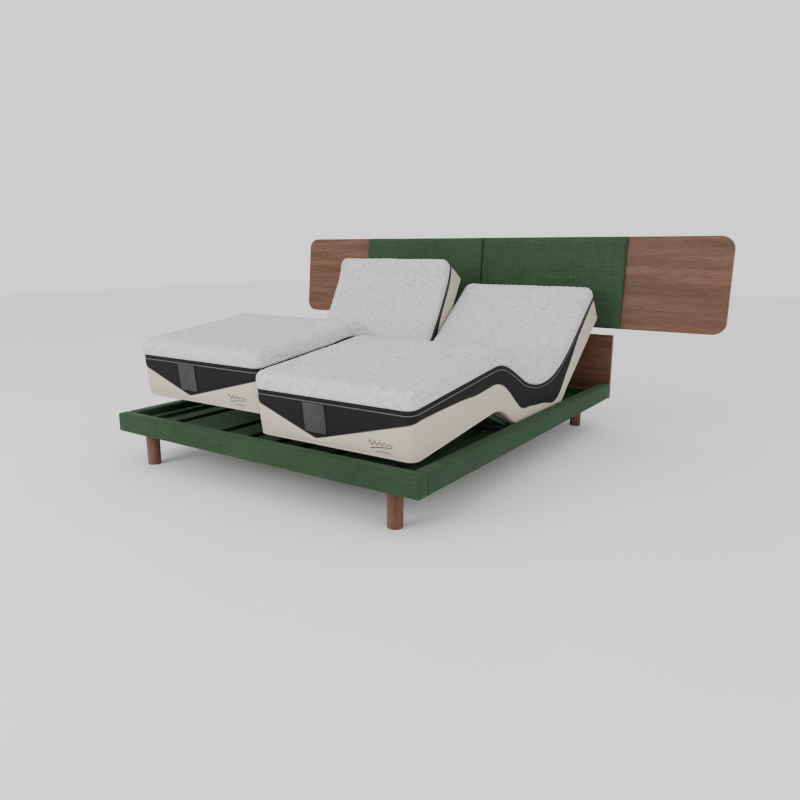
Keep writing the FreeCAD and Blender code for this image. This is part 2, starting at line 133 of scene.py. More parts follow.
def plain_mesh(name, points, faces):
    mesh = bpy.data.meshes.new(name)
    mesh.from_pydata([tuple(p) for p in points], [], [tuple(f) for f in faces])
    mesh.update()
    item = bpy.data.objects.new(name, mesh)
    bpy.context.scene.collection.objects.link(item)
    return item


span = FLOOR_SPAN
floor = plain_mesh("studio_floor", [(-span, -span, 0), (span, -span, 0), (span, span, 0),
                                    (-span, span, 0)], [(0, 1, 2, 3)])
floor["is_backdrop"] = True
print("lamps and floor made")

# %% [markdown]
# Every finish is a small tree of nodes.  A helper wires nodes by name, so that each finish below
# reads as a list of what it does: where the pattern is read, what noise it is made of, how that
# colours the surface and how it lifts it.

# %% Finish helpers


class Finish:
    """A material and short calls to add and join its nodes."""

    def __init__(self, name, roughness, color=(0.5, 0.5, 0.5)):
        self.material = bpy.data.materials.new(name)
        self.material.use_nodes = True
        self.tree = self.material.node_tree
        self.shader = self.tree.nodes["Principled BSDF"]
        self.shader.inputs["Roughness"].default_value = roughness
        self.shader.inputs["Base Color"].default_value = (*color, 1)
        self.shader.inputs["Specular IOR Level"].default_value = 0.25
        self.material.diffuse_color = (*color, 1)
        self.where = self.tree.nodes.new("ShaderNodeTexCoord")

    def add(self, kind, values=None, **settings):
        node = self.tree.nodes.new(kind)
        for name, value in settings.items():
            setattr(node, name, value)
        for name, value in (values or {}).items():
            node.inputs[name].default_value = value
        return node

    def join(self, source, target):
        self.tree.links.new(source, target)

    def place(self, source, scale, turn=(0, 0, 0)):
        """The pattern's coordinates: Object or UV metres, stretched by scale."""
        mapping = self.add("ShaderNodeMapping", {"Scale": scale, "Rotation": turn})
        self.join(self.where.outputs[source], mapping.inputs["Vector"])
        return mapping.outputs["Vector"]

    def noise(self, vector, scale, detail=2.0, rough=0.5, bend=0.0):
        node = self.add("ShaderNodeTexNoise", {"Scale": scale, "Detail": detail,
                                               "Roughness": rough, "Distortion": bend})
        self.join(vector, node.inputs["Vector"])
        return node.outputs["Fac"]

    def wave(self, vector, scale, direction, bend=0.0, detail=1.0):
        node = self.add("ShaderNodeTexWave", {"Scale": scale, "Distortion": bend,
                                              "Detail": detail}, bands_direction=direction)
        self.join(vector, node.inputs["Vector"])
        return node.outputs["Fac"]

    def ramp(self, factor, stops):
        node = self.add("ShaderNodeValToRGB")
        while len(node.color_ramp.elements) < len(stops):
            node.color_ramp.elements.new(0.5)
        for element, (place, color) in zip(node.color_ramp.elements, stops):
            element.position = place
            element.color = (*color, 1)
        self.join(factor, node.inputs["Fac"])
        return node.outputs["Color"]

    def math(self, operation, first, second):
        node = self.add("ShaderNodeMath", operation=operation)
        for socket, value in zip(node.inputs, (first, second)):
            if isinstance(value, (int, float)):
                socket.default_value = value
            else:
                self.join(value, socket)
        return node.outputs[0]

    def mix(self, factor, first, second, blend="MIX"):
        node = self.add("ShaderNodeMix", data_type="RGBA", blend_type=blend)
        for socket, value in ((node.inputs[0], factor), (node.inputs[6], first),
                              (node.inputs[7], second)):
            if isinstance(value, tuple):
                socket.default_value = (*value, 1)
            elif isinstance(value, (int, float)):
                socket.default_value = value
            else:
                self.join(value, socket)
        return node.outputs[2]

    def color(self, source):
        self.join(source, self.shader.inputs["Base Color"])

    def rough(self, factor, low, high):
        node = self.add("ShaderNodeMapRange", {"To Min": low, "To Max": high})
        self.join(factor, node.inputs["Value"])
        self.join(node.outputs["Result"], self.shader.inputs["Roughness"])

    def bump(self, height, strength, distance):
        node = self.add("ShaderNodeBump", {"Strength": strength, "Distance": distance})
        self.join(height, node.inputs["Height"])
        self.join(node.outputs["Normal"], self.shader.inputs["Normal"])

    def sheen(self, weight, roughness=0.5, tint=(1, 1, 1)):
        self.shader.inputs["Sheen Weight"].default_value = weight
        self.shader.inputs["Sheen Roughness"].default_value = roughness
        self.shader.inputs["Sheen Tint"].default_value = (*tint, 1)


print("finish helpers ready")

# %% [markdown]
# The platform and the headboard cushions wear a slubby green chenille: thick and thin yarns give
# soft light and dark streaks both ways, over a fine weave.  It is read from Object coordinates,
# so the weave keeps one scale on every piece; two streak noises, each stretched along one yarn
# direction, carry the colour, and the streaks with a fine fleck noise give the weave's relief.

# %% Green chenille


def chenille(name, across, upright, light=(0.024, 0.053, 0.023), dark=(0.010, 0.0245, 0.010)):
    finish = Finish(name, 0.86, light)
    streak_a = finish.noise(finish.place("Object", across), 1.0, 4.0, 0.62)
    streak_b = finish.noise(finish.place("Object", upright), 1.0, 4.0, 0.62)
    cloud = finish.noise(finish.place("Object", (3, 3, 3)), 1.0, 2.0)
    fleck = finish.noise(finish.place("Object", (230, 230, 230)), 1.0, 2.0)
    streaks = finish.math("ADD", finish.math("MULTIPLY", streak_a, 0.42),
                          finish.math("MULTIPLY", streak_b, 0.34))
    total = finish.math("ADD", streaks, finish.math("MULTIPLY", cloud, 0.16))
    total = finish.math("ADD", total, finish.math("MULTIPLY", fleck, 0.16))
    finish.color(finish.ramp(total, [(0.40, dark), (0.53, tuple((a + b) / 2 for a, b in
                                                               zip(light, dark))), (0.66, light)]))
    relief = finish.math("ADD", finish.math("MULTIPLY", streaks, 0.7),
                         finish.math("MULTIPLY", fleck, 0.5))
    finish.bump(relief, 0.55, 0.0022)
    finish.sheen(0.08, 0.45, (0.45, 0.75, 0.45))
    return finish.material


RAIL_GREEN = chenille("chenille_rail", (9, 9, 170), (170, 170, 9))
CUSHION_GREEN = chenille("chenille_cushion", (8, 60, 190), (190, 60, 8), (0.037, 0.074, 0.035),
                         (0.015, 0.034, 0.015))
FLOOR_GREEN = chenille("chenille_floor", (150, 9, 60), (9, 150, 60), (0.030, 0.062, 0.028),
                       (0.012, 0.028, 0.012))
DECK_GREEN = chenille("deck_cloth", (150, 9, 60), (9, 150, 60), (0.036, 0.062, 0.034),
                      (0.014, 0.027, 0.014))
print("chenille in four lays")

# %% [markdown]
# The boards are veneered in flat-cut walnut: long wavy grain along the board, fine dark pores and
# broad bands where one leaf of veneer meets the next.  Stretching the coordinates along the grain
# turns ordinary noise into grain, so one helper serves boards and legs with a different stretch.

# %% Walnut


def walnut(name, along, light, dark, seed=0.0):
    """Walnut whose grain runs along the axis that has the small number in along."""
    finish = Finish(name, 0.48, light)
    stretch = finish.place("Object", along)
    broad = finish.noise(stretch, 1.0, 3.0, 0.55, 0.6 + seed)
    fine = finish.noise(finish.place("Object", tuple(v * 5 for v in along)), 1.0, 5.0, 0.65, 0.3)
    pore = finish.noise(finish.place("Object", tuple(v * 16 for v in along)), 1.0, 2.0, 0.7)
    grain = finish.math("ADD", finish.math("MULTIPLY", broad, 0.58),
                        finish.math("MULTIPLY", fine, 0.42))
    middle = tuple((a + b) / 2 for a, b in zip(light, dark))
    body = finish.ramp(grain, [(0.36, dark), (0.50, middle), (0.62, light)])
    pores = finish.ramp(pore, [(0.40, (0.55, 0.50, 0.47)), (0.52, (1, 1, 1))])
    finish.color(finish.mix(0.6, body, pores, "MULTIPLY"))
    finish.rough(fine, 0.42, 0.58)
    finish.bump(finish.math("ADD", pore, finish.math("MULTIPLY", fine, 0.6)), 0.25, 0.0006)
    return finish.material


WALNUT_WING = walnut("walnut_wing", (1.3, 14, 20), (0.160, 0.078, 0.045), (0.088, 0.040, 0.023))
WALNUT_PANEL = walnut("walnut_panel", (1.2, 14, 17), (0.150, 0.074, 0.046),
                      (0.078, 0.036, 0.022), 0.3)
WALNUT_LEG = walnut("walnut_leg", (26, 26, 2.2), (0.175, 0.078, 0.048), (0.086, 0.035, 0.021))
TIMBER = walnut("frame_timber", (22, 1.4, 22), (0.46, 0.33, 0.20), (0.33, 0.22, 0.125), 0.1)
print("walnut for wings, panel and legs")

# %% [markdown]
# Three cloths make the mattress: a white quilted knit on top, a charcoal woven band and a cream
# base cloth.  They bend with the bed, so they read the piece's own UV map, laid out in metres
# along and across the cloth, and the weave rides with the surface.

# %% Mattress cloths


def knit(name, light, dark, size, depth, sheen=0.1, roughness=0.9, mottle=0.0, quilt_shade=0.0):
    """A cloth of fine loops, size to the metre, with a little colour between the loops; the last
    argument darkens short wandering lines in patches, as painted shade of the quilting valleys."""
    finish = Finish(name, roughness, light)
    vector = finish.place("UV", (size, size, size))
    warp = finish.wave(vector, 0.16, "X", 1.2)
    weft = finish.wave(vector, 0.16, "Y", 1.2)
    loops = finish.math("MULTIPLY", warp, weft)
    fuzz = finish.noise(vector, 1.4, 2.0)
    cloud = finish.noise(finish.place("UV", (11, 11, 11)), 1.0, 3.0)
    tone = finish.math("ADD", finish.math("MULTIPLY", loops, 0.45),
                       finish.math("MULTIPLY", fuzz, 0.55))
    if mottle:
        tone = finish.math("ADD", finish.math("MULTIPLY", tone, 1 - mottle),
                           finish.math("MULTIPLY", cloud, mottle))
    tint = finish.ramp(tone, [(0.22, dark), (0.62, light)])
    relief = finish.math("ADD", loops, finish.math("MULTIPLY", fuzz, 0.5))
    # Painted shade: dark wandering dashes in patches stand for the shadow in the quilting valleys; they also feed
    # the bump.
    if quilt_shade:
        wander = finish.noise(finish.place("UV", (52, 52, 52)), 1.0, 1.0, 0.5, 0.8)
        away = finish.math("ABSOLUTE", finish.math("SUBTRACT", wander, 0.5), 0)
        thread = finish.ramp(away, [(0.010, (quilt_shade,) * 3), (0.034, (1, 1, 1))])
        patch = finish.noise(finish.place("UV", (31, 31, 31)), 1.0, 1.0)
        shown = finish.ramp(patch, [(0.42, (0, 0, 0)), (0.50, (1, 1, 1))])
        shade_dashes = finish.mix(shown, (1.0, 1.0, 1.0), thread)
        tint = finish.mix(1.0, tint, shade_dashes, "MULTIPLY")
        relief = finish.math("ADD", relief, finish.math("MULTIPLY", shade_dashes, 2.0))
    finish.color(tint)
    finish.bump(relief, 0.5, depth)
    finish.sheen(sheen, 0.5)
    return finish.material


# The white knit carries painted quilting shade as dark dashes.
TOP_KNIT = knit("knit_white", (0.62, 0.62, 0.62), (0.52, 0.52, 0.525), 620, 0.0007, 0.03, 0.95, 0.2,
                quilt_shade=0.55)
BAND_CLOTH = knit("cloth_charcoal", (0.0120, 0.0112, 0.0125), (0.0050, 0.0047, 0.0053), 900, 0.0005,
                  0.0)
BASE_CLOTH = knit("cloth_cream", (0.520, 0.470, 0.385), (0.43, 0.385, 0.31), 900, 0.0005, 0.08, 0.9,
                  0.3)
PIPING_GREY = knit("piping_grey", (0.115, 0.115, 0.118), (0.065, 0.065, 0.068), 1500, 0.0004, 0.1)
PIPING_CREAM = knit("piping_cream", (0.66, 0.61, 0.54), (0.50, 0.45, 0.39), 1500, 0.0004, 0.1)
PATCH_CLOTH = knit("patch_grey", (0.050, 0.050, 0.051), (0.016, 0.016, 0.017), 420, 0.0008, 0.05,
                   0.7, 0.45)
THREAD = knit("thread_brown", (0.060, 0.034, 0.028), (0.030, 0.015, 0.012), 2500, 0.0003, 0.0)
THREAD_RED = knit("thread_red", (0.170, 0.030, 0.022), (0.080, 0.014, 0.010), 2500, 0.0003, 0.0)
print("mattress cloths ready")

# %% [markdown]
# The lifting frame is black powder-coated steel: a dull black with the fine orange-peel of baked
# powder.  The drives are moulded plastic and their rods ground steel.

# %% Steel and plastic


def coated(name, color, roughness, grain, depth, metal=0.0):
    finish = Finish(name, roughness, color)
    peel = finish.noise(finish.place("Object", (grain, grain, grain)), 1.0, 3.0)
    wear = finish.noise(finish.place("Object", (9, 9, 9)), 1.0, 3.0)
    lighter = tuple(min(1.0, value * 1.5 + 0.004) for value in color)
    finish.color(finish.ramp(wear, [(0.35, color), (0.75, lighter)]))
    finish.rough(peel, roughness - 0.08, roughness + 0.1)
    finish.bump(peel, 0.3, depth)
    finish.shader.inputs["Metallic"].default_value = metal
    return finish.material


STEEL_BLACK = coated("powder_black", (0.022, 0.022, 0.024), 0.45, 650, 0.0004)
PLASTIC = coated("moulded_plastic", (0.030, 0.030, 0.032), 0.55, 1400, 0.0003)
STEEL_ROD = coated("ground_steel", (0.52, 0.52, 0.53), 0.22, 900, 0.0001, 1.0)
STEEL_SCREW = coated("zinc_screw", (0.40, 0.40, 0.41), 0.34, 900, 0.0002, 1.0)
PALE_FLOOR = Finish("studio_floor", 0.9, (0.86, 0.86, 0.86))
pale = PALE_FLOOR.noise(PALE_FLOOR.place("Object", (2, 2, 2)), 1.0)
PALE_FLOOR.color(PALE_FLOOR.ramp(pale, [(0.3, (0.85, 0.85, 0.85)), (0.7, (0.87, 0.87, 0.87))]))
floor.data.materials.append(PALE_FLOOR.material)
print("steel, plastic and floor finishes ready")

# %% [markdown]
# The frame nodes whose shape is already right are kept and only given their finish.

# %% Finishes for the carried-over nodes
KEPT = {"floor_": FLOOR_GREEN, "seat_panel": DECK_GREEN, "back_panel": DECK_GREEN,
        "thigh_panel": DECK_GREEN, "calf_panel": DECK_GREEN, "base_frame": STEEL_BLACK,
        "back_rails": STEEL_BLACK, "thigh_rails": STEEL_BLACK, "calf_rails": STEEL_BLACK,
        "back_lever": STEEL_BLACK, "thigh_lever": STEEL_BLACK, "head_drive": PLASTIC,
        "foot_drive": PLASTIC, "head_rod": STEEL_ROD, "foot_rod": STEEL_ROD,
        "head_rail": FLOOR_GREEN, "centre_beam": TIMBER, "headboard_post": STEEL_BLACK}


def repaint(item, material):
    """Puts one finish in every material slot of an object."""
    if not item.material_slots:
        item.data.materials.append(material)
    for slot in item.material_slots:
        slot.material = material


for name, item in nodes.items():
    for start, material in KEPT.items():
        if name.startswith(start):
            repaint(item, material)
print("kept nodes finished")

# %% [markdown]
# Small helpers turn lists of points into finished pieces that ride on a body.

# %% Piece helpers


def finished(item, material, body=None, replaced=(), smooth=True):
    """Gives a piece its finish and the body it rides on."""
    repaint(item, material)
    for face in item.data.polygons:
        face.use_smooth = smooth
    if body:
        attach(item, body)
    if replaced:
        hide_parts(*replaced)
    return item


def from_bmesh(name, shape):
    bmesh.ops.recalc_face_normals(shape, faces=shape.faces)
    mesh = bpy.data.meshes.new(name)
    shape.to_mesh(mesh)
    shape.free()
    item = bpy.data.objects.new(name, mesh)
    bpy.context.scene.collection.objects.link(item)
    return item


def settled(item):
    """Applies an object's modifiers, so that its mesh is final."""
    bpy.context.view_layer.update()
    graph = bpy.context.evaluated_depsgraph_get()
    mesh = bpy.data.meshes.new_from_object(item.evaluated_get(graph))
    old = item.data
    item.modifiers.clear()
    item.data = mesh
    bpy.data.meshes.remove(old)
    return item


def padded_box(name, low, high, roundness, steps=4, cell=0.05, crown=0.0):
    """A box with rounded edges whose faces are cut into cells and swell a little."""
    shape = bmesh.new()
    bmesh.ops.create_cube(shape, size=1.0)
    size = [h - l for l, h in zip(low, high)]
    middle = [(l + h) / 2 for l, h in zip(low, high)]
    for axis, length in enumerate(size):
        parts = max(1, round((length - 2 * roundness) / cell))
        for part in range(1, parts):
            place = -0.5 + part / parts
            normal = [0, 0, 0]
            normal[axis] = 1
            point = [0, 0, 0]
            point[axis] = place
            bmesh.ops.bisect_plane(shape, geom=shape.verts[:] + shape.edges[:] + shape.faces[:],
                                   plane_co=point, plane_no=normal)
    core = [length / 2 - roundness for length in size]
    for vertex in shape.verts:
        vertex.co = [value * length for value, length in zip(vertex.co, size)]
    edges = [edge for edge in shape.edges if edge.calc_face_angle(0) > 1]
    bmesh.ops.bevel(shape, geom=edges, offset=roundness, segments=steps, profile=0.5,
                    affect="EDGES")
    for vertex in shape.verts:
        swell = [1 - min(1, abs(value) / (length / 2)) ** 4
                 for value, length in zip(vertex.co, size)]
        for axis in range(3):
            others = [swell[other] for other in range(3) if other != axis]
            if abs(vertex.co[axis]) > core[axis] + roundness * 0.9:
                vertex.co[axis] += math.copysign(crown * others[0] * others[1], vertex.co[axis])
        vertex.co = [value + centre for value, centre in zip(vertex.co, middle)]
    return from_bmesh(name, shape)


print("piece helpers ready")

# %% [markdown]
# The rails are timber wrapped in thin foam and chenille, pulled tight, so their edges are soft
# and their faces very slightly crowned.  Each rail is its own box with rounded edges; where the
# foot rail meets a side rail the two roundings make the seam of the corner.

# %% Upholstered rails
for name in ("foot_rail", "side_rail_left", "side_rail_right"):
    low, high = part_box(name)
    rail = padded_box(f"{name}_cloth", low, high, 0.009, 4, 0.06, 0.0012)
    finished(rail, RAIL_GREEN, "base", (name,))
    print(name, "wrapped:", len(rail.data.polygons), "faces")

# %% [markdown]
# The legs are turned walnut, each a lathe profile of a few points spun round its axis, with a
# steel plate screwed up under the rail.

# %% Turned legs
LEG_SIDES = 48


def turned(name, centre, profile):
    """Spins (radius, height) points round a vertical axis and closes both ends."""
    shape = bmesh.new()
    rings = []
    for radius, height in profile:
        ring = []
        for step in range(LEG_SIDES):
            angle = 2 * math.pi * step / LEG_SIDES
            ring.append(shape.verts.new((centre[0] + radius * math.cos(angle),
                                         centre[1] + radius * math.sin(angle), height)))
        rings.append(ring)
    for lower, upper in zip(rings, rings[1:]):
        for step in range(LEG_SIDES):
            after = (step + 1) % LEG_SIDES
            shape.faces.new((lower[step], lower[after], upper[after], upper[step]))
    shape.faces.new(rings[0][::-1])
    shape.faces.new(rings[-1])
    return from_bmesh(name, shape)


LEG_RADIUS = 0.033
PLATE_THICK = 0.004
for end in ("front", "rear"):
    for side, sign in SIDES.items():
        node = f"leg_{end}_{side}"
        low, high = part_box(node)
        mount = next(m for m in frame["record"]["mounts"] if m["name"] == f"{node}_foot")
        x, y = mount["pos_m"][:2]
        top = high[2] - PLATE_THICK
        profile = [(LEG_RADIUS - 0.006, 0.0), (LEG_RADIUS - 0.003, 0.0008),
                   (LEG_RADIUS - 0.002, 0.003), (LEG_RADIUS - 0.0018, 0.02),
                   (LEG_RADIUS - 0.0003, top - 0.004), (LEG_RADIUS - 0.001, top)]
        leg = turned(f"{node}_walnut", (x, y), profile)
        finished(leg, WALNUT_LEG, "base", (node,))
        plate = padded_box(f"{node}_plate", (low[0], low[1], top), high, 0.0012, 2, 0.5)
        finished(plate, STEEL_BLACK, "base", smooth=False)
print("four legs turned")

# %% [markdown]
# The wings, the middle board and the back panel are flat veneered boards with eased edges.  A
# board is an outline with rounded corners, given its thickness and then a small bevel all round.

# %% Veneered boards
RECLINE = math.radians(5)
EASE = 0.0025


def board(name, outline, thickness, turn, place):
    """Extrudes an (x, z) outline along +Y, eases its edges and lays it at its place."""
    shape = bmesh.new()
    front = [shape.verts.new((x, 0, z)) for x, z in outline]
    back = [shape.verts.new((x, thickness, z)) for x, z in outline]
    count = len(outline)
    shape.faces.new(front)
    shape.faces.new(back[::-1])
    for step in range(count):
        after = (step + 1) % count
        shape.faces.new((front[step], back[step], back[after], front[after]))
    sharp = [edge for edge in shape.edges if edge.calc_face_angle(0) > 0.6]
    bmesh.ops.bevel(shape, geom=sharp, offset=EASE, segments=3, profile=0.5, affect="EDGES")
    shape.transform(Matrix.Translation(place) @ Matrix.Rotation(turn, 4, "X"))
    return from_bmesh(name, shape)


def rounded_outline(low, high, corner, rounded):
    """Corners of a rectangle, anticlockwise from low x, low z; rounded says which are round."""
    centres = [(low[0], low[1], 1, 1), (high[0], low[1], -1, 1), (high[0], high[1], -1, -1),
               (low[0], high[1], 1, -1)]
    points = []
    for index, (x, z, toward_x, toward_z) in enumerate(centres):
        if not rounded[index]:
            points.append((x, z))
            continue
        for step in range(13):
            angle = math.pi + math.pi / 2 * (index + step / 12)
            points.append((x + corner * toward_x + corner * math.cos(angle),
                           z + corner * toward_z + corner * math.sin(angle)))
    return points


BOARD_CORNER = 0.069
HEADBOARD_LOW = 0.573
HEADBOARD_TALL = 0.525
HEADBOARD_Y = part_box("head_panel")[0][1]
BOARD_THICK = 0.030
place = (0, HEADBOARD_Y, HEADBOARD_LOW)
for side, sign in SIDES.items():
    low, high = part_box(f"headboard_wing_{side}")
    ends = (False, True, True, False) if side == "right" else (True, False, False, True)
    outline = rounded_outline((low[0], 0), (high[0], HEADBOARD_TALL), BOARD_CORNER, ends)
    wing = board(f"wing_{side}", outline, BOARD_THICK, -RECLINE, place)
    finished(wing, WALNUT_WING, "base", (f"headboard_wing_{side}",), smooth=False)
low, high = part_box("headboard_middle")
outline = rounded_outline((low[0], 0), (high[0], HEADBOARD_TALL), BOARD_CORNER, (False,) * 4)
middle = board("headboard_core", outline, BOARD_THICK, -RECLINE, place)
finished(middle, WALNUT_WING, "base", ("headboard_middle",), smooth=False)
low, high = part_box("head_panel")
outline = rounded_outline((low[0], 0), (high[0], high[2] - low[2]), BOARD_CORNER, (False,) * 4)
panel = board("back_panel_veneer", outline, high[1] - low[1], 0, (0, low[1], low[2]))
finished(panel, WALNUT_PANEL, "base", ("head_panel",), smooth=False)
print("boards veneered")

# %% [markdown]
# Each headboard cushion is a thin foam pad in a tight chenille cover.  It is blown up with the
# cloth solver from a slightly smaller block, and what it may swell is capped, so that its face
# comes out crowned between edges that pull in, as a stuffed cover's does.

# %% Headboard cushions by cloth simulation
SWELL_CAP = 0.006
VOXEL = 0.006


def inflate(item, pressure, cap, frames=20):
    """Swells a closed mesh with cloth pressure and limits how far any point moves."""
    remesh = item.modifiers.new("skin", "REMESH")
    remesh.mode = "VOXEL"
    remesh.voxel_size = VOXEL
    settled(item)
    start = np.array([v.co for v in item.data.vertices])
    cloth = item.modifiers.new("cloth", "CLOTH")
    cloth.settings.use_pressure = True
    cloth.settings.uniform_pressure_force = pressure
    cloth.settings.effector_weights.gravity = 0
    cloth.settings.quality = 5
    cloth.point_cache.frame_start = 1
    cloth.point_cache.frame_end = frames
    scene = bpy.context.scene
    for number in range(1, frames + 1):
        scene.frame_set(number)
    graph = bpy.context.evaluated_depsgraph_get()
    ended = item.evaluated_get(graph).to_mesh()
    moved = np.array([v.co for v in ended.vertices])
    item.evaluated_get(graph).to_mesh_clear()
    item.modifiers.clear()
    scene.frame_set(1)
    step = moved - start
    length = np.linalg.norm(step, axis=1, keepdims=True)
    step *= cap * np.tanh(length / cap) / np.maximum(length, 1e-9)
    item.data.vertices.foreach_set("co", (start + step).ravel())
    item.data.update()
    return item


cushion_thick = 0.028
for side, sign in SIDES.items():
    node = f"headboard_cushion_{side}"
    low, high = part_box(node)
    inset = 0.0006
    ends = (low[0], high[0] - inset) if side == "right" else (low[0] + inset, high[0])
    pad = padded_box(f"cushion_{side}", (ends[0], -cushion_thick + 0.003, inset),
                     (ends[1], -0.0005, HEADBOARD_TALL - inset), 0.006, 3, 0.08, 0.001)
    inflate(pad, 4.0, SWELL_CAP)
    smoother = pad.modifiers.new("smooth", "SMOOTH")
    smoother.iterations = 4
    settled(pad)
    points = np.array([v.co for v in pad.data.vertices])
    points[:, 1] = np.minimum(points[:, 1], -0.0003)
    inner, outer = np.abs(points[:, 0]).min(), np.abs(points[:, 0]).max()
    wide = max(abs(low[0]), abs(high[0])) - 0.0003
    points[:, 0] = sign * (0.0003 + (np.abs(points[:, 0]) - inner) / (outer - inner) * wide)
    bottom, top = points[:, 2].min(), points[:, 2].max()
    points[:, 2] = (points[:, 2] - bottom) / (top - bottom) * HEADBOARD_TALL
    pad.data.vertices.foreach_set("co", points.ravel())
    pad.data.transform(Matrix.Translation(place) @ Matrix.Rotation(-RECLINE, 4, "X"))
    finished(pad, CUSHION_GREEN, "base", (node,))
    print(node, "blown up:", len(pad.data.vertices), "points")

# %% [markdown]
# Each mattress is drawn flat first, as plain numbers: x across, s along from the foot end, h up
# from its underside.  A closed loop of points runs round its outline; every band of cloth is that
# loop repeated at a list of levels, each level an offset outwards and a height.  The top and the
# underside are grids that join the loop.

# %% Mattress sizes
WIDE, LONG, TALL = 0.800, 2.000, 0.280
CORNER = 0.045          # radius of the plan corners and of the roll from top to side
LEFT_EDGE = {"right": 0.002, "left": -0.802}    # row x of each mattress's left side
SIDE_BULGE = 0.0012     # the quilting may stand this far out of the sides, clear of the gap
WHITE_EDGE = 0.205      # the white top cover ends at this height
PIPE_HEIGHT = 0.187     # the grey piping runs at this height
CELL = 0.0066
hinge = {side: {name: joints[f"{name}_{side}"] for name in
                ("back_hinge", "thigh_hinge", "knee_hinge", "mattress_slide")}
         for side in SIDES}
HIP = hinge["right"]["back_hinge"]["pos_m"][1:]
THIGH = hinge["right"]["thigh_hinge"]["pos_m"][1:]
THIGH_LONG = 0.280
KNEE = [THIGH[0] - THIGH_LONG, THIGH[1]]
LIFT = 0.029
FOOT_Y = KNEE[0] - 0.636
knee_s, thigh_s, hip_s = (place - FOOT_Y for place in (KNEE[0], THIGH[0], HIP[0]))
print("hinges at s =", round(knee_s, 3), round(thigh_s, 3), round(hip_s, 3), "foot", FOOT_Y)

# %% [markdown]
# Each mattress bends at the hinges under it.  It is cut in four lengths, each of which turns
# between two neighbouring bodies.  A length's blend runs between two parallel planes; the cuts
# lie where the blend on both sides is done, so that the lengths always meet.  At rest the backs
# are up, so a flat point is carried there by finding the one share of turn that agrees with the
# place it ends at.

# %% Bends and cuts of the two mattresses
BEND = {
    "right": {"knee": (-0.214, 0.060), "thigh": (-0.115, 0.066), "hip": (-0.180, 0.150),
              "slide": (0.250, 0.560), "slide_lean": 0.0, "seat": 0.800, "back": 0.795,
              "valley": (0.165, 1.430, 0.160), "crest": (0.0, 1.163, 0.100),
              "cuts": ((0.848, -0.236), (1.120, 0.0), (1.670, 0.0))},
    "left": {"knee": (-0.200, 0.235), "thigh": (-0.052, 0.058), "hip": (-0.150, 0.240),
             "slide": (0.240, 0.560), "slide_lean": 0.5, "seat": 0.940, "back": 0.590,
             "valley": (0.280, 1.495, 0.145), "crest": (0.190, 2.020, 0.130),
             "cuts": ((0.841, -0.375), (1.079, 0.0), (1.712, 0.569))},
}


# The white edge of the right mattress at rest follows three straight stretches, over the calf,
# the thigh and the back.  They meet at these tips, as (distance from the foot rail, height),
# and each corner is rounded over a width.
KNEE_TIP, KNEE_ROUND = (0.82, 0.533), 0.06
VALLEY_TIP, VALLEY_ROUND = (1.29, 0.280), 0.40
RAIL_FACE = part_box("foot_rail")[0][1]


def ease(t):
    t = np.clip(t, 0, 1)
    return t * t * (3 - 2 * t)


def turn(points, centre, angle):
    """Turns (y, z) points about centre by angle, which may be one per point."""
    c, s = np.cos(angle), np.sin(angle)
    y, z = points[:, 0] - centre[0], points[:, 1] - centre[1]
    return np.stack([y * c - z * s + centre[0], y * s + z * c + centre[1]], 1)


def settle(flat, carry, start, end):
    """Rest places of flat points: carry(flat, w) with w the blend weight at the result."""
    start, end = np.array(start), np.array(end)
    span = end - start
    low, high = np.zeros(len(flat)), np.ones(len(flat))
    for _ in range(34):
        w = (low + high) / 2
        ahead = ease((carry(flat, w) - start) @ span / (span @ span)) > w
        low, high = np.where(ahead, w, low), np.where(ahead, high, w)
    return carry(flat, (low + high) / 2)


def rest_angles(side):
    """How far the back, the thigh and the knee are turned from flat at rest."""
    return [math.radians(-hinge[side][name]["range_deg"][0])
            for name in ("back_hinge", "thigh_hinge", "knee_hinge")]


class Bend:
    """The four bending lengths of one mattress."""

    def __init__(self, side):
        data = BEND[side]
        back, thigh, knee = rest_angles(side)
        reach = -hinge[side]["mattress_slide"]["range_m"][0]
        self.data = data
        raised = turn(np.array([KNEE]), THIGH, -thigh)[0]
        self.parts = []

        def add(first, second, centre, heading, low, high, carry):
            way = np.array([math.cos(heading), math.sin(heading)])
            centre = np.array(centre)
            self.parts.append((first, second, centre + way * low, centre + way * high, carry))

        low, high = data["knee"]
        add(f"thigh_{side}", f"calf_{side}", raised, math.pi - thigh + knee / 2, low, high,
            lambda p, w: turn(turn(p, KNEE, w * knee), THIGH, -thigh))
        low, high = data["thigh"]
        add("base", f"thigh_{side}", THIGH, math.pi - thigh / 2, low, high,
            lambda p, w: turn(p, THIGH, -w * thigh))
        low, high = data["hip"]
        add("base", f"back_{side}", HIP, back / 2, low, high, lambda p, w: turn(p, HIP, w * back))
        low, high = data["slide"]
        lean = back * data["slide_lean"]
        add(f"back_{side}", f"mattress_head_{side}", HIP, back - lean, low,
            high + reach * (1 if lean == 0 else 0),
            lambda p, w: turn(p + np.outer(w * reach, (1, 0)), HIP, back))

    def rest(self, flat, length):
        """Row-frame places of (x, s, h) points, each of which belongs to one length."""
        plane = np.stack([FOOT_Y + flat[:, 1], HIP[1] + LIFT + flat[:, 2]], 1)
        done = np.empty_like(plane)
        for number, (_, _, start, end, carry) in enumerate(self.parts):
            mine = length == number
            if mine.any():
                done[mine] = settle(plane[mine], carry, start, end)
        return np.column_stack([flat[:, 0], done])


bends = {side: Bend(side) for side in SIDES}
print("bends ready:", {side: len(bend.parts) for side, bend in bends.items()})

# %% [markdown]
# The side of a mattress tells its story in bands: the charcoal band dips in a wide V on the foot
# face, grows towards the seat and thins out towards the head.  The height of the seam between
# charcoal and cream is a smooth curve through a few points, along the side and across the foot.

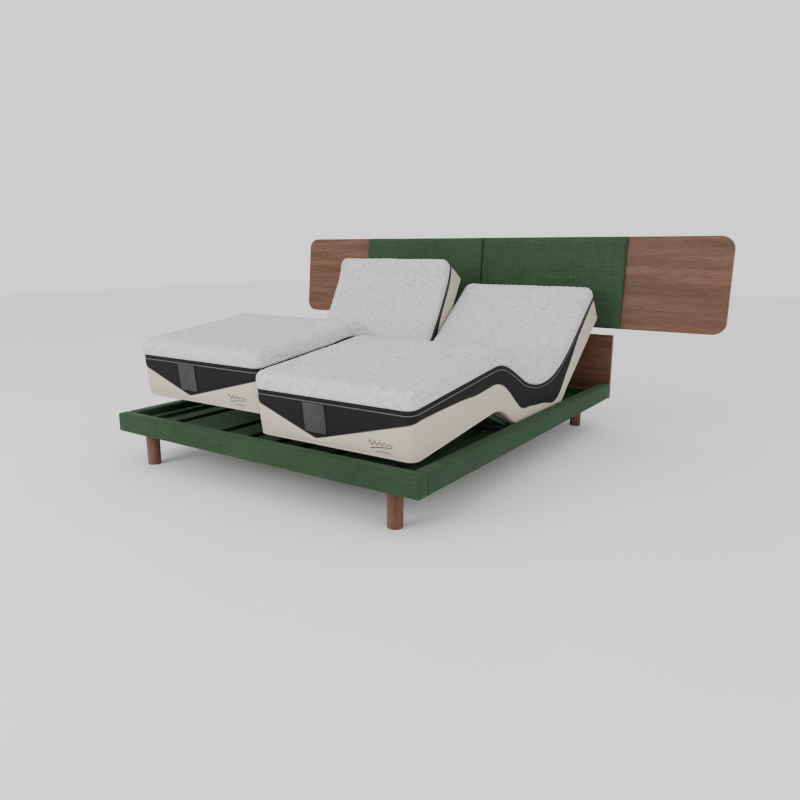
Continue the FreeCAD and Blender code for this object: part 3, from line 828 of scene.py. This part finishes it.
# %% Seams of the side
SIDE_DIP = ((0, 0.044), (0.36, 0.060), (0.53, 0.075), (0.65, 0.075), (0.82, 0.108),
            (0.93, 0.122), (1.13, 0.123), (1.24, 0.137), (1.34, 0.147), (1.44, 0.142),
            (1.53, 0.130), (1.62, 0.110), (1.72, 0.082), (1.81, 0.046), (2.0, 0.027))
V_TIP = 0.325
V_DEEP = 0.170
HEAD_DIP = 0.027


def smooth_curve(table, places):
    """A cubic through the table's points that never overshoots between them."""
    xs, ys = (np.array(column, float) for column in zip(*table))
    slope = np.diff(ys) / np.diff(xs)
    tangent = np.zeros(len(xs))
    same = slope[:-1] * slope[1:] > 0
    tangent[1:-1][same] = 2 * slope[:-1][same] * slope[1:][same] / (slope[:-1] + slope[1:])[same]
    at = np.clip(np.searchsorted(xs, places) - 1, 0, len(slope) - 1)
    width = xs[at + 1] - xs[at]
    t = np.clip((places - xs[at]) / width, 0, 1)
    return (ys[at] * (1 + 2 * t) * (1 - t) ** 2 + ys[at + 1] * t * t * (3 - 2 * t)
            + width * (tangent[at] * t * (1 - t) ** 2 + tangent[at + 1] * t * t * (t - 1)))


def seam_dip(x, s, end):
    """How far the charcoal band reaches below the white edge; end is -1 at the foot face."""
    side = smooth_curve(SIDE_DIP, s)
    slope = np.where(x < V_TIP, (V_DEEP - 0.044) / V_TIP, (V_DEEP - 0.044) / (WIDE - V_TIP))
    away = np.abs(x - V_TIP)
    v = V_DEEP - slope * (np.sqrt(away ** 2 + 0.008 ** 2) - 0.008)
    return np.where(end < 0, v, np.where(end > 0, HEAD_DIP, side))


def thickness(s, data):
    """How full the mattress is along its length: bends and weight thin the seat and back."""
    if "full" in data:
        return np.interp(s, *data["full"])
    seat = ease((s - 0.810) / 0.355)
    back = ease((s - 1.165) / 0.500)
    full = 1 + (data["seat"] - 1) * seat + (data["back"] - data["seat"]) * back
    for amount, middle, width in (data["valley"], data["crest"]):
        full = full + amount * np.exp(-((s - middle) / width) ** 2)
    return full


def length_of(s_line, data):
    """Which of the four lengths a line across the mattress belongs to."""
    return np.searchsorted([cut[0] for cut in data["cuts"]], s_line, side="right")


def leaning(s_line, data):
    """How much each line across the mattress leans, so that the cuts lie in their planes."""
    places, leans = zip(*data["cuts"])
    return np.interp(s_line, [CORNER, *places, LONG - CORNER], [0, *leans, 0])


def rounded_max(a, b, width):
    """The higher of two lines, with their corner rounded where they are within width."""
    near = np.clip(1 - np.abs(a - b) / width, 0, 1)
    return np.maximum(a, b) + width / 4 * near ** 2


def edge_height(y):
    """Height of the right mattress's white edge at rest; y is measured from the foot rail."""
    back, thigh, knee = rest_angles("right")
    fall = (KNEE_TIP[1] - VALLEY_TIP[1]) / (VALLEY_TIP[0] - KNEE_TIP[0])
    calf_line = KNEE_TIP[1] + math.tan(knee - thigh) * (y - KNEE_TIP[0])
    thigh_line = KNEE_TIP[1] - fall * (y - KNEE_TIP[0])
    back_line = VALLEY_TIP[1] + math.tan(back) * (y - VALLEY_TIP[0])
    over_knee = -rounded_max(-calf_line, -thigh_line, KNEE_ROUND)
    return rounded_max(over_knee, back_line, VALLEY_ROUND)


FILL_STEPS = 201
FILL_RANGE = (0.62, 1.12)       # thinnest and fullest that the search may choose


def fill_to_edge(side):
    """Finds the thickness that lays the white edge at edge_height at rest."""
    data = BEND[side]
    s = np.linspace(0, LONG, FILL_STEPS)
    plain = thickness(s, data)
    low, high = (np.full(FILL_STEPS, limit) for limit in FILL_RANGE)
    for _ in range(14):
        middle = (low + high) / 2
        h = WHITE_EDGE * middle
        at = bends[side].rest(np.column_stack([s * 0, s + leaning(s, data) * h, h]),
                              length_of(s, data))
        above = at[:, 2] > edge_height(at[:, 1] - RAIL_FACE)
        low, high = np.where(above, low, middle), np.where(above, middle, high)
    window = ease((s - 0.72) / 0.08) * (1 - ease((s - 1.74) / 0.10))
    full = plain + window * ((low + high) / 2 - plain)
    for _ in range(6):
        full[1:-1] = (full[:-2] + 2 * full[1:-1] + full[2:]) / 4
    data["full"] = (s, full)


fill_to_edge("right")
print("fill of the right mattress", np.round(BEND["right"]["full"][1][70:190:10], 2))
print("seam dips", np.round(seam_dip(np.array([0, .325, .8]), np.zeros(3), -np.ones(3)), 3))

# %% [markdown]
# The white knit is quilted in small wandering cushions.  Thirty waves of one length and random
# directions add up to such a pattern; a soft threshold makes flat tufts between narrow valleys.

# %% Quilting
dice = np.random.default_rng(7)
QUILT_WAVES = [(dice.uniform(0, 2 * math.pi), 2 * math.pi / dice.uniform(0.019, 0.029),
                dice.uniform(0, 2 * math.pi)) for _ in range(30)]
QUILT_DEEP = 0.0016
SOFT_WAVES = [(dice.uniform(0, 2 * math.pi), 2 * math.pi / dice.uniform(0.16, 0.34),
               dice.uniform(0, 2 * math.pi)) for _ in range(10)]


def waves(table, u, v):
    total = np.zeros_like(u)
    for heading, number, phase in table:
        total += np.cos(number * (u * math.cos(heading) + v * math.sin(heading)) + phase)
    return total / math.sqrt(len(table) / 2)


def quilt(u, v):
    return QUILT_DEEP * np.tanh(1.8 * waves(QUILT_WAVES, u, v)) + 0.0006 * waves(SOFT_WAVES, u, v)


print("quilting ready")

# %% [markdown]
# The mattress cells follow.  `Sheet` collects the points of one band of cloth with their maps and
# faces, carries them to rest, works out smooth normals over the whole band, and only then cuts it
# in its four lengths, so that no shading seam shows at a cut.

# %% Mattress builder


class Outline:
    """The loop of points round one mattress, anticlockwise seen from above."""

    def __init__(self, side):
        data = BEND[side]
        self.places = np.linspace(0, LONG, 401)
        self.run = {}
        for height in (TALL, PIPE_HEIGHT):
            row = np.column_stack([np.zeros(401), self.places,
                                   height * thickness(self.places, data)])
            lean = leaning(self.places, data)
            row[:, 1] += lean * row[:, 2]
            row = bends[side].rest(row, length_of(self.places, data))
            step = np.maximum(np.linalg.norm(np.diff(row, axis=0), axis=1), 1e-4)
            self.run[height] = np.concatenate([[0], np.cumsum(step)])
        self.s_lines = self.lines(CORNER, LONG - CORNER, data)
        count = round((WIDE - 2 * CORNER) / CELL)
        self.x_lines = np.linspace(CORNER, WIDE - CORNER, count + 1)
        n_s, n_x, arc = len(self.s_lines), len(self.x_lines), 10
        rows = []
        anchor = []

        def corner(x, s, first, node, end):
            for step in range(1, arc):
                angle = math.radians(first + 90 * step / arc)
                rows.append((x, s, math.cos(angle), math.sin(angle), end))
                anchor.append(node)

        for i, s in enumerate(self.s_lines):
            rows.append((WIDE - CORNER, s, 1, 0, 0))
            anchor.append((i, n_x - 1))
        corner(WIDE - CORNER, LONG - CORNER, 0, (n_s - 1, n_x - 1), 1)
        for j in reversed(range(n_x)):
            rows.append((self.x_lines[j], LONG - CORNER, 0, 1, 1))
            anchor.append((n_s - 1, j))
        corner(CORNER, LONG - CORNER, 90, (n_s - 1, 0), 1)
        for i in reversed(range(n_s)):
            rows.append((CORNER, self.s_lines[i], -1, 0, 0))
            anchor.append((i, 0))
        corner(CORNER, CORNER, 180, (0, 0), -1)
        for j in range(n_x):
            rows.append((self.x_lines[j], CORNER, 0, -1, -1))
            anchor.append((0, j))
        corner(WIDE - CORNER, CORNER, 270, (0, n_x - 1), -1)
        table = np.array(rows, float)
        self.base, self.normal, self.end = table[:, :2], table[:, 2:4], table[:, 4]
        self.anchor = [i * n_x + j for i, j in anchor]
        edge = self.at(CORNER)
        cloth = np.column_stack([edge[:, 0], self.along(edge[:, 1], PIPE_HEIGHT)])
        step = np.linalg.norm(np.roll(cloth, -1, 0) - cloth, axis=1)
        self.around = np.concatenate([[0], np.cumsum(step)])
        dip = seam_dip(edge[:, 0], edge[:, 1], np.where(np.abs(self.normal[:, 1]) > 0.999,
                                                        self.end, 0))
        straight = np.abs(self.normal[:, 0] * self.normal[:, 1]) < 1e-9
        dip = np.interp(self.around[:-1], self.around[:-1][straight], dip[straight],
                        period=self.around[-1])
        self.seam = WHITE_EDGE - dip

    def lines(self, low, high, data):
        """Lines across the mattress, evenly spread on the bent top, with one on every cut."""
        spread = np.concatenate([[0], np.cumsum(np.maximum(np.diff(self.run[TALL]),
                                                           0.8 * np.diff(self.places)))])
        found = []
        stops = [low, *(cut[0] for cut in data["cuts"]), high]
        for a, b in zip(stops, stops[1:]):
            start, end = np.interp([a, b], self.places, spread)
            count = max(1, round((end - start) / CELL))
            marks = np.interp(np.linspace(start, end, count + 1), spread, self.places)
            found += [a, *marks[1:-1]]
        return np.array(found + [high])

    def along(self, s, height):
        """Length of cloth from the foot end to s, measured on the bent bed at that height."""
        inner = np.interp(s, self.places, self.run[height])
        return inner + np.minimum(s, 0) + np.maximum(s - LONG, 0)

    def at(self, offset):
        return self.base + self.normal * np.reshape(offset, (-1, 1))


class Sheet:
    """One band of cloth of one mattress, drawn flat."""

    def __init__(self):
        self.points, self.maps, self.faces, self.face_maps = [], [], [], []

    def loop(self, outline, offset, height, map_v=None, relief=None):
        """Adds one level of the loop and gives the numbers of its points."""
        count = len(outline.base)
        offset, height = np.broadcast_to(offset, count), np.broadcast_to(height, count)
        place = outline.at(offset)
        first = len(self.points)
        self.points += list(np.column_stack([place, height]))
        if relief is None:
            self.maps += list(np.column_stack([outline.around[:-1],
                                               height if map_v is None else
                                               np.broadcast_to(map_v, count)]))
        else:
            self.maps += list(relief)
        return list(range(first, first + count))

    def band(self, outline, upper, lower, planar=False):
        """Faces between two levels, outward; upper is above lower or outside it."""
        count = len(upper)
        for i in range(count):
            j = (i + 1) % count
            ring = [upper[i], lower[i], lower[j], upper[j]]
            maps = [list(self.maps[k]) for k in ring]
            if j == 0 and not planar:
                maps[2][0] = maps[3][0] = outline.around[-1]
            if upper[i] == upper[j]:
                ring, maps = ring[:3], maps[:3]
            elif lower[i] == lower[j]:
                ring, maps = [ring[0], ring[1], ring[3]], [maps[0], maps[1], maps[3]]
            self.faces.append(ring)
            self.face_maps.append(maps)

    def grid(self, outline, height, upward, relief=False):
        s, x = np.meshgrid(outline.s_lines, outline.x_lines, indexing="ij")
        s, x = s.ravel(), x.ravel()
        first = len(self.points)
        z = np.full_like(x, height)
        cloth = outline.along(s, TALL if upward else PIPE_HEIGHT)
        if relief:
            z = z + quilt(x, cloth)
        self.points += list(np.column_stack([x, s, z]))
        self.maps += list(np.column_stack([x, cloth]))
        n_s, n_x = len(outline.s_lines), len(outline.x_lines)
        for i in range(n_s - 1):
            for j in range(n_x - 1):
                a = first + i * n_x + j
                ring = [a, a + 1, a + n_x + 1, a + n_x]
                if not upward:
                    ring.reverse()
                self.faces.append(ring)
                self.face_maps.append([self.maps[k] for k in ring])
        return [first + k for k in outline.anchor]


ROLL_DROP = 0.042       # how far the roll from top to side comes down
ROLL_SHARP = 0.90       # below one, the roll is tighter than a round one


def white_top(outline):
    sheet = Sheet()
    upper = sheet.grid(outline, TALL, True, relief=True)
    profile = []
    for step in range(1, 13):
        angle = math.radians(7.5 * step)
        profile.append((CORNER * math.sin(angle) ** ROLL_SHARP,
                        TALL - ROLL_DROP * (1 - math.cos(angle) ** ROLL_SHARP),
                        0.9 * CORNER * angle, angle))
    for offset, height in ((0.0008, 0.236), (0.0016, 0.226), (0.0012, 0.217), (-0.0002, 0.211),
                           (-0.003, 0.2068), (-0.007, 0.2055)):
        profile.append((CORNER + offset, height, CORNER * 1.41 + 0.244 - height,
                        math.pi / 2))
    for offset, height, along, angle in profile:
        flat_map = outline.base + outline.normal * along
        flat_map[:, 1] = outline.along(outline.base[:, 1], TALL) + outline.normal[:, 1] * along
        fade = np.clip((height - 0.210) / 0.012, 0, 1)
        lift = quilt(flat_map[:, 0], flat_map[:, 1]) * fade
        lower = sheet.loop(outline, np.minimum(offset + lift * math.sin(angle), CORNER + SIDE_BULGE),
                           height + lift * math.cos(angle), relief=flat_map)
        sheet.band(outline, upper, lower, planar=True)
        upper = lower
    return sheet


def levels(outline, profile):
    """A sheet of loops from a list of (offset beyond the outline, height) pairs."""
    sheet = Sheet()
    upper = None
    for offset, height in profile:
        lower = sheet.loop(outline, CORNER + offset, height)
        if upper:
            sheet.band(outline, upper, lower)
        upper = lower
    return sheet, upper


def charcoal(outline):
    seam = outline.seam
    low = np.minimum(seam, 0.179)
    profile = [(-0.007, 0.2055), (-0.0035, 0.2050), (-0.0022, 0.2015), (-0.0020, 0.197),
               (-0.0024, 0.192), (-0.0045, 0.188), (-0.0045, 0.186), (-0.0026, 0.182)]
    for share in (0.12, 0.3, 0.5, 0.7, 0.88):
        swell = 0.0022 * (1 - (2 * share - 1) ** 2)
        profile.append((-0.0022 + swell, 0.182 + (low - 0.182) * share))
    profile += [(-0.0028, low + 0.0012), (-0.0045, low)]
    return levels(outline, profile)[0]


def cream(outline):
    low = np.minimum(outline.seam, 0.179)
    profile = [(-0.0045, low), (-0.0028, low - 0.0012)]
    for share in (0.06, 0.2, 0.4, 0.6, 0.8, 0.95):
        swell = 0.0026 * (1 - (2 * share - 1) ** 2)
        profile.append((-0.0022 + swell, low + (0.016 - low) * share))
    profile += [(-0.0025, 0.0130), (-0.0055, 0.0110), (-0.0035, 0.0080), (-0.006, 0.0045),
                (-0.010, 0.0018), (-0.018, 0.0004)]
    sheet, upper = levels(outline, profile)
    lower = sheet.grid(outline, 0.0, False)
    count = len(upper)
    for i in range(count):
        j = (i + 1) % count
        ring = [upper[i], lower[i], lower[j], upper[j]]
        if lower[i] == lower[j]:
            ring = [upper[i], lower[i], upper[j]]
        sheet.faces.append(ring)
        sheet.face_maps.append([list(sheet.points[k][:2]) for k in ring])
    return sheet


def piping(outline, offset, height, radius, sides=8):
    """A cord sewn round the outline: closed round itself and round the mattress."""
    sheet = Sheet()
    rings = []
    for step in range(sides):
        angle = 2 * math.pi * step / sides
        rings.append(sheet.loop(outline, CORNER + offset + radius * math.cos(angle),
                                height - radius * math.sin(angle), map_v=radius * angle))
    for step in range(sides):
        sheet.band(outline, rings[step], rings[(step + 1) % sides])
    return sheet


SECTION_NAMES = ("calf", "thigh", "seat", "head")


def lay(sheet, side, label, material):
    """Carries a sheet to rest and cuts it in its four lengths."""
    bend, data = bends[side], BEND[side]
    flat = np.array(sheet.points)
    lines_s = flat[:, 1].copy()
    flat[:, 2] *= thickness(lines_s, data)
    flat[:, 1] += leaning(lines_s, data) * flat[:, 2]
    flat[:, 0] += LEFT_EDGE[side]
    face_line = np.array([np.mean(lines_s[ring]) for ring in sheet.faces])
    face_part = length_of(face_line, data)
    used = np.unique(face_part)
    whole = np.zeros((len(flat), 3))
    places = {}
    for part in used:
        places[part] = bend.rest(flat, np.full(len(flat), part))
    for part in used:
        mine = np.unique(np.concatenate([sheet.faces[k] for k in np.where(face_part == part)[0]]))
        whole[mine] = places[part][mine]
    quads = np.array([ring if len(ring) == 4 else [*ring, ring[2]] for ring in sheet.faces])
    normal = np.cross(whole[quads[:, 2]] - whole[quads[:, 0]],
                      whole[quads[:, 3]] - whole[quads[:, 1]])
    vertex_normal = np.zeros_like(whole)
    for column in range(4):
        np.add.at(vertex_normal, quads[:, column], normal)
    vertex_normal /= np.maximum(np.linalg.norm(vertex_normal, axis=1, keepdims=True), 1e-12)
    made, gap = [], 0.0
    for part in used:
        chosen = np.where(face_part == part)[0]
        rings = [sheet.faces[k] for k in chosen]
        mine = np.unique(np.concatenate(rings))
        number = {old: new for new, old in enumerate(mine)}
        gap = max(gap, float(np.abs(places[part][mine] - whole[mine]).max()))
        mesh = bpy.data.meshes.new(f"mattress_{side}_{label}_{SECTION_NAMES[part]}")
        mesh.from_pydata([tuple(p) for p in places[part][mine]], [],
                         [[number[k] for k in ring] for ring in rings])
        layer = mesh.uv_layers.new(name="cloth")
        flat_uv = np.array([uv for k in chosen for uv in sheet.face_maps[k]], float)
        layer.data.foreach_set("uv", flat_uv.ravel())
        item = bpy.data.objects.new(mesh.name, mesh)
        bpy.context.scene.collection.objects.link(item)
        finished(item, material)
        mesh.normals_split_custom_set_from_vertices([tuple(n) for n in vertex_normal[mine]])
        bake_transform(item)
        made.append(item)
    print(item.name, "points", len(flat), "gap at cuts mm", round(gap * 1000, 3))
    return made


print("mattress builder ready")

# %% Two mattresses
for side in SIDES:
    outline = Outline(side)
    tops = lay(white_top(outline), side, "knit", TOP_KNIT)
    lay(charcoal(outline), side, "band", BAND_CLOTH)
    lay(cream(outline), side, "base", BASE_CLOTH)
    lay(piping(outline, -0.0020, PIPE_HEIGHT, 0.0026), side, "piping", PIPING_GREY)
    lay(piping(outline, -0.0034, np.minimum(outline.seam, 0.179), 0.0019), side, "seam",
        PIPING_GREY)
    lay(piping(outline, -0.0030, 0.0110, 0.0026), side, "hem", PIPING_CREAM)
    for top, name in zip(tops, SECTION_NAMES):
        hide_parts(f"mattress_{name}_{side}")
print("two mattresses laid")

# %% [markdown]
# What repeats is made once and set out by Geometry Nodes.  One group lays stitches along a line
# of points at an even spacing; another sets a screw on every point it is given.

# %% Geometry Nodes for stitches and screws


def node_group(name, sockets):
    """A geometry group with named inputs, and short calls to add and join its nodes."""
    group = bpy.data.node_groups.new(name, "GeometryNodeTree")
    group.interface.new_socket("Geometry", in_out="INPUT", socket_type="NodeSocketGeometry")
    for label, kind, value in sockets:
        socket = group.interface.new_socket(label, in_out="INPUT", socket_type=kind)
        if value is not None:
            socket.default_value = value
    group.interface.new_socket("Geometry", in_out="OUTPUT", socket_type="NodeSocketGeometry")
    return group, group.nodes.new("NodeGroupInput"), group.nodes.new("NodeGroupOutput")


def stitch_group():
    """Line of points -> even points -> one capsule of thread on each -> real mesh."""
    group, enter, leave = node_group("stitches", [
        ("Spacing", "NodeSocketFloat", 0.006), ("Length", "NodeSocketFloat", 0.004),
        ("Thickness", "NodeSocketFloat", 0.0006), ("Material", "NodeSocketMaterial", None)])
    new, link = group.nodes.new, group.links.new
    curve = new("GeometryNodeMeshToCurve")
    even = new("GeometryNodeResampleCurve")
    even.mode = "LENGTH"
    link(enter.outputs["Geometry"], curve.inputs["Mesh"])
    link(curve.outputs["Curve"], even.inputs["Curve"])
    link(enter.outputs["Spacing"], even.inputs["Length"])
    tangent = new("GeometryNodeInputTangent")
    turn_to = new("FunctionNodeAlignRotationToVector")
    turn_to.axis = "Z"
    link(tangent.outputs["Tangent"], turn_to.inputs["Vector"])
    thread = new("GeometryNodeMeshUVSphere")
    thread.inputs["Segments"].default_value = 8
    thread.inputs["Rings"].default_value = 6
    thread.inputs["Radius"].default_value = 0.5
    shape = new("ShaderNodeCombineXYZ")
    link(enter.outputs["Thickness"], shape.inputs["X"])
    link(enter.outputs["Thickness"], shape.inputs["Y"])
    link(enter.outputs["Length"], shape.inputs["Z"])
    put = new("GeometryNodeInstanceOnPoints")
    link(even.outputs["Curve"], put.inputs["Points"])
    link(thread.outputs["Mesh"], put.inputs["Instance"])
    link(turn_to.outputs["Rotation"], put.inputs["Rotation"])
    link(shape.outputs["Vector"], put.inputs["Scale"])
    real = new("GeometryNodeRealizeInstances")
    paint = new("GeometryNodeSetMaterial")
    link(put.outputs["Instances"], real.inputs["Geometry"])
    link(real.outputs["Geometry"], paint.inputs["Geometry"])
    link(enter.outputs["Material"], paint.inputs["Material"])
    link(paint.outputs["Geometry"], leave.inputs["Geometry"])
    return group


def screw_group():
    """Points -> a domed screw head on each, pointing down -> real mesh."""
    group, enter, leave = node_group("screws", [
        ("Radius", "NodeSocketFloat", 0.005), ("Height", "NodeSocketFloat", 0.0022),
        ("Material", "NodeSocketMaterial", None)])
    new, link = group.nodes.new, group.links.new
    points = new("GeometryNodeMeshToPoints")
    link(enter.outputs["Geometry"], points.inputs["Mesh"])
    head = new("GeometryNodeMeshCone")
    head.inputs["Vertices"].default_value = 24
    head.inputs["Side Segments"].default_value = 3
    shrink = new("ShaderNodeMath")
    shrink.operation = "MULTIPLY"
    shrink.inputs[1].default_value = 0.62
    link(enter.outputs["Radius"], shrink.inputs[0])
    link(enter.outputs["Radius"], head.inputs["Radius Top"])
    link(shrink.outputs["Value"], head.inputs["Radius Bottom"])
    link(enter.outputs["Height"], head.inputs["Depth"])
    put = new("GeometryNodeInstanceOnPoints")
    link(points.outputs["Points"], put.inputs["Points"])
    link(head.outputs["Mesh"], put.inputs["Instance"])
    real = new("GeometryNodeRealizeInstances")
    paint = new("GeometryNodeSetMaterial")
    link(put.outputs["Instances"], real.inputs["Geometry"])
    link(real.outputs["Geometry"], paint.inputs["Geometry"])
    link(enter.outputs["Material"], paint.inputs["Material"])
    link(paint.outputs["Geometry"], leave.inputs["Geometry"])
    return group


STITCHES, SCREWS = stitch_group(), screw_group()


def set_out(name, points, edges, group, values, material, body):
    """Runs a group on points and edges and keeps the mesh it makes as a finished piece."""
    mesh = bpy.data.meshes.new(name)
    mesh.from_pydata([tuple(p) for p in points], edges, [])
    item = bpy.data.objects.new(name, mesh)
    bpy.context.scene.collection.objects.link(item)
    maker = item.modifiers.new("maker", "NODES")
    maker.node_group = group
    for socket in group.interface.items_tree:
        if socket.in_out == "INPUT" and socket.name in values:
            maker[socket.identifier] = values[socket.name]
        elif socket.in_out == "INPUT" and socket.name == "Material":
            maker[socket.identifier] = material
    settled(item)
    return finished(item, material, body)


def stitched(name, points, material, body, spacing, length, thick):
    edges = [(k, k + 1) for k in range(len(points) - 1)]
    return set_out(name, points, edges, STITCHES,
                   {"Spacing": spacing, "Length": length, "Thickness": thick}, material, body)


for end in ("front", "rear"):
    for side in SIDES:
        low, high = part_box(f"leg_{end}_{side}")
        z = high[2] - PLATE_THICK - 0.0011
        corners = [(x, y, z) for x in (low[0] + 0.013, high[0] - 0.013)
                   for y in (low[1] + 0.013, high[1] - 0.013)]
        set_out(f"screws_{end}_{side}", corners, [], SCREWS, {}, STEEL_SCREW, "base")
print("screws set under four plates")

# %% [markdown]
# On the foot face of each mattress a grey woven label hangs from the piping over the V, and a
# line of brown thread is embroidered on the cream at its right.  Label and embroidery carry no
# sign: the label is woven in plain blocks, the thread draws a wave over two plain strokes.

# %% Labels and embroidery on the foot faces


def foot_place(side, x, h, out):
    """Rest place of a point on a foot face: x from its left edge, height h, out from the face."""
    flat = np.array([[LEFT_EDGE[side] + x, -out, h]])
    return tuple(bends[side].rest(flat, np.zeros(1))[0])


LABEL = (0.276, 0.387, 0.060, 0.1835)
label_x = np.linspace(LABEL[0], LABEL[1], 30)
label_h = np.linspace(LABEL[2], LABEL[3], 32)
for side in SIDES:
    shape = bmesh.new()
    layers = []
    for out in (0.0032, 0.0012):
        rows = [[shape.verts.new(foot_place(
            side, x, h, out + (0.0011 if out > 0.002 and (
                (int((x - LABEL[0]) / 0.0283) + int((h - LABEL[2]) / 0.0315)) % 2) else 0)))
            for x in label_x] for h in label_h]
        layers.append(rows)
    for face, rows in enumerate(layers):
        for lower, upper in zip(rows, rows[1:]):
            for j in range(len(lower) - 1):
                ring = [lower[j], lower[j + 1], upper[j + 1], upper[j]]
                shape.faces.new(ring if face == 0 else ring[::-1])
    front, rear = layers
    rims = [([r[0] for r in front], [r[0] for r in rear]),
            ([r[-1] for r in rear], [r[-1] for r in front]),
            (rear[0], front[0]), (front[-1], rear[-1])]
    for first, second in rims:
        for j in range(len(first) - 1):
            shape.faces.new((first[j], first[j + 1], second[j + 1], second[j]))
    label = from_bmesh(f"label_{side}", shape)
    layer = label.data.uv_layers.new(name="cloth")
    for loop in label.data.loops:
        point = label.data.vertices[loop.vertex_index].co
        layer.data[loop.index].uv = (point.x, point.z)
    finished(label, PATCH_CLOTH, f"calf_{side}")
    edge = [(LABEL[0] + 0.003, LABEL[3] - 0.003), (LABEL[0] + 0.003, LABEL[2] + 0.003),
            (LABEL[1] - 0.003, LABEL[2] + 0.003), (LABEL[1] - 0.003, LABEL[3] - 0.003)]
    stitched(f"label_stitches_{side}", [foot_place(side, x, h, 0.0044) for x, h in edge],
             PIPING_GREY, f"calf_{side}", 0.0048, 0.0036, 0.0009)
    wave = [(0.592 + 0.108 * t, 0.064 + 0.010 * math.sin(30 * t) * (1 - 0.7 * t))
            for t in np.linspace(0, 1, 90)]
    stroke = [(0.600 + 0.100 * t, 0.042 + 0.006 * math.sin(math.pi * t) + 0.014 * t ** 3)
              for t in np.linspace(0, 1, 60)]
    tail = [(0.624 + 0.062 * t, 0.030 + 0.003 * math.sin(math.pi * t))
            for t in np.linspace(0, 1, 30)]
    for number, (line, thread, thick) in enumerate(((wave, THREAD, 0.0024),
                                                    (stroke, THREAD_RED, 0.0034),
                                                    (tail, THREAD, 0.0022))):
        stitched(f"embroidery_{side}_{number}",
                 [foot_place(side, x, h, 0.0014) for x, h in line], thread,
                 f"calf_{side}", 0.0014, 0.0036, thick)
print("labels and embroidery on both foot faces")

# %% [markdown]
# Behind the seat a green cloth is drawn between the rails, below everything that moves.

# %% Cloth floor at the head
LINER_LOW, LINER_HIGH = 0.1590, 0.1625
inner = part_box("side_rail_right")[0][0]
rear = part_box("head_rail")[0][1]
liner = padded_box("head_liner", (-inner + 0.0005, HIP[0] + 0.235, LINER_LOW),
                   (inner - 0.0005, rear - 0.0005, LINER_HIGH), 0.001, 2, 0.06)
finished(liner, FLOOR_GREEN, "base")
print("head liner", [round(v, 3) for v in liner.dimensions])

# %% [markdown]
# The floor boards leave slots for the moving rails to sink into when the bed lies flat.  Under
# each slot hangs a soft cloth pocket, so that no light shows through from below.

# %% Cloth pockets under the slots
POCKET_LOW = 0.1595
board_low, board_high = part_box("floor_boards_right")


def slots_between(side):
    """The gaps across the boards of one side, from the boards' own points."""
    xs = sorted({round(vertex.co.x, 4) for vertex in nodes[f"floor_boards_{side}"].data.vertices})
    return [(xs[k], xs[k + 1]) for k in range(1, len(xs) - 1, 2)]


for side in SIDES:
    for number, (left, right) in enumerate(slots_between(side)):
        lever = number == 1
        y_low = board_low[1] + 0.001
        y_high = board_high[1] - (0.34 if lever else 0.0)
        deep = POCKET_LOW
        lip, sag = 0.0015, 0.004
        section = [(left - lip, board_low[2] - 0.0002), (left + 0.0005, board_low[2] - 0.010),
                   (left + 0.001, deep + sag), ((left + right) / 2, deep),
                   (right - 0.001, deep + sag), (right - 0.0005, board_low[2] - 0.010),
                   (right + lip, board_low[2] - 0.0002)]
        outer = [(x + (-0.0012 if x < (left + right) / 2 else 0.0012), z - 0.0008)
                 for x, z in section]
        outer[3] = (section[3][0], section[3][1] - 0.0012)
        ring = section + outer[::-1]
        shape = bmesh.new()
        rows = [[shape.verts.new((x, y, z)) for x, z in ring]
                for y in np.linspace(y_low, y_high, 40)]
        for near_row, far_row in zip(rows, rows[1:]):
            for j in range(len(ring)):
                k = (j + 1) % len(ring)
                shape.faces.new((near_row[j], far_row[j], far_row[k], near_row[k]))
        shape.faces.new(rows[0])
        shape.faces.new(rows[-1][::-1])
        pocket = from_bmesh(f"slot_pocket_{side}_{number}", shape)
        finished(pocket, FLOOR_GREEN, "base")
    print(side, "slots", [tuple(round(v, 3) for v in gap) for gap in slots_between(side)])

# %% Bounds of the dressed scene
low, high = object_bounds()
print("bounds", [round(v, 4) for v in low], [round(v, 4) for v in high])
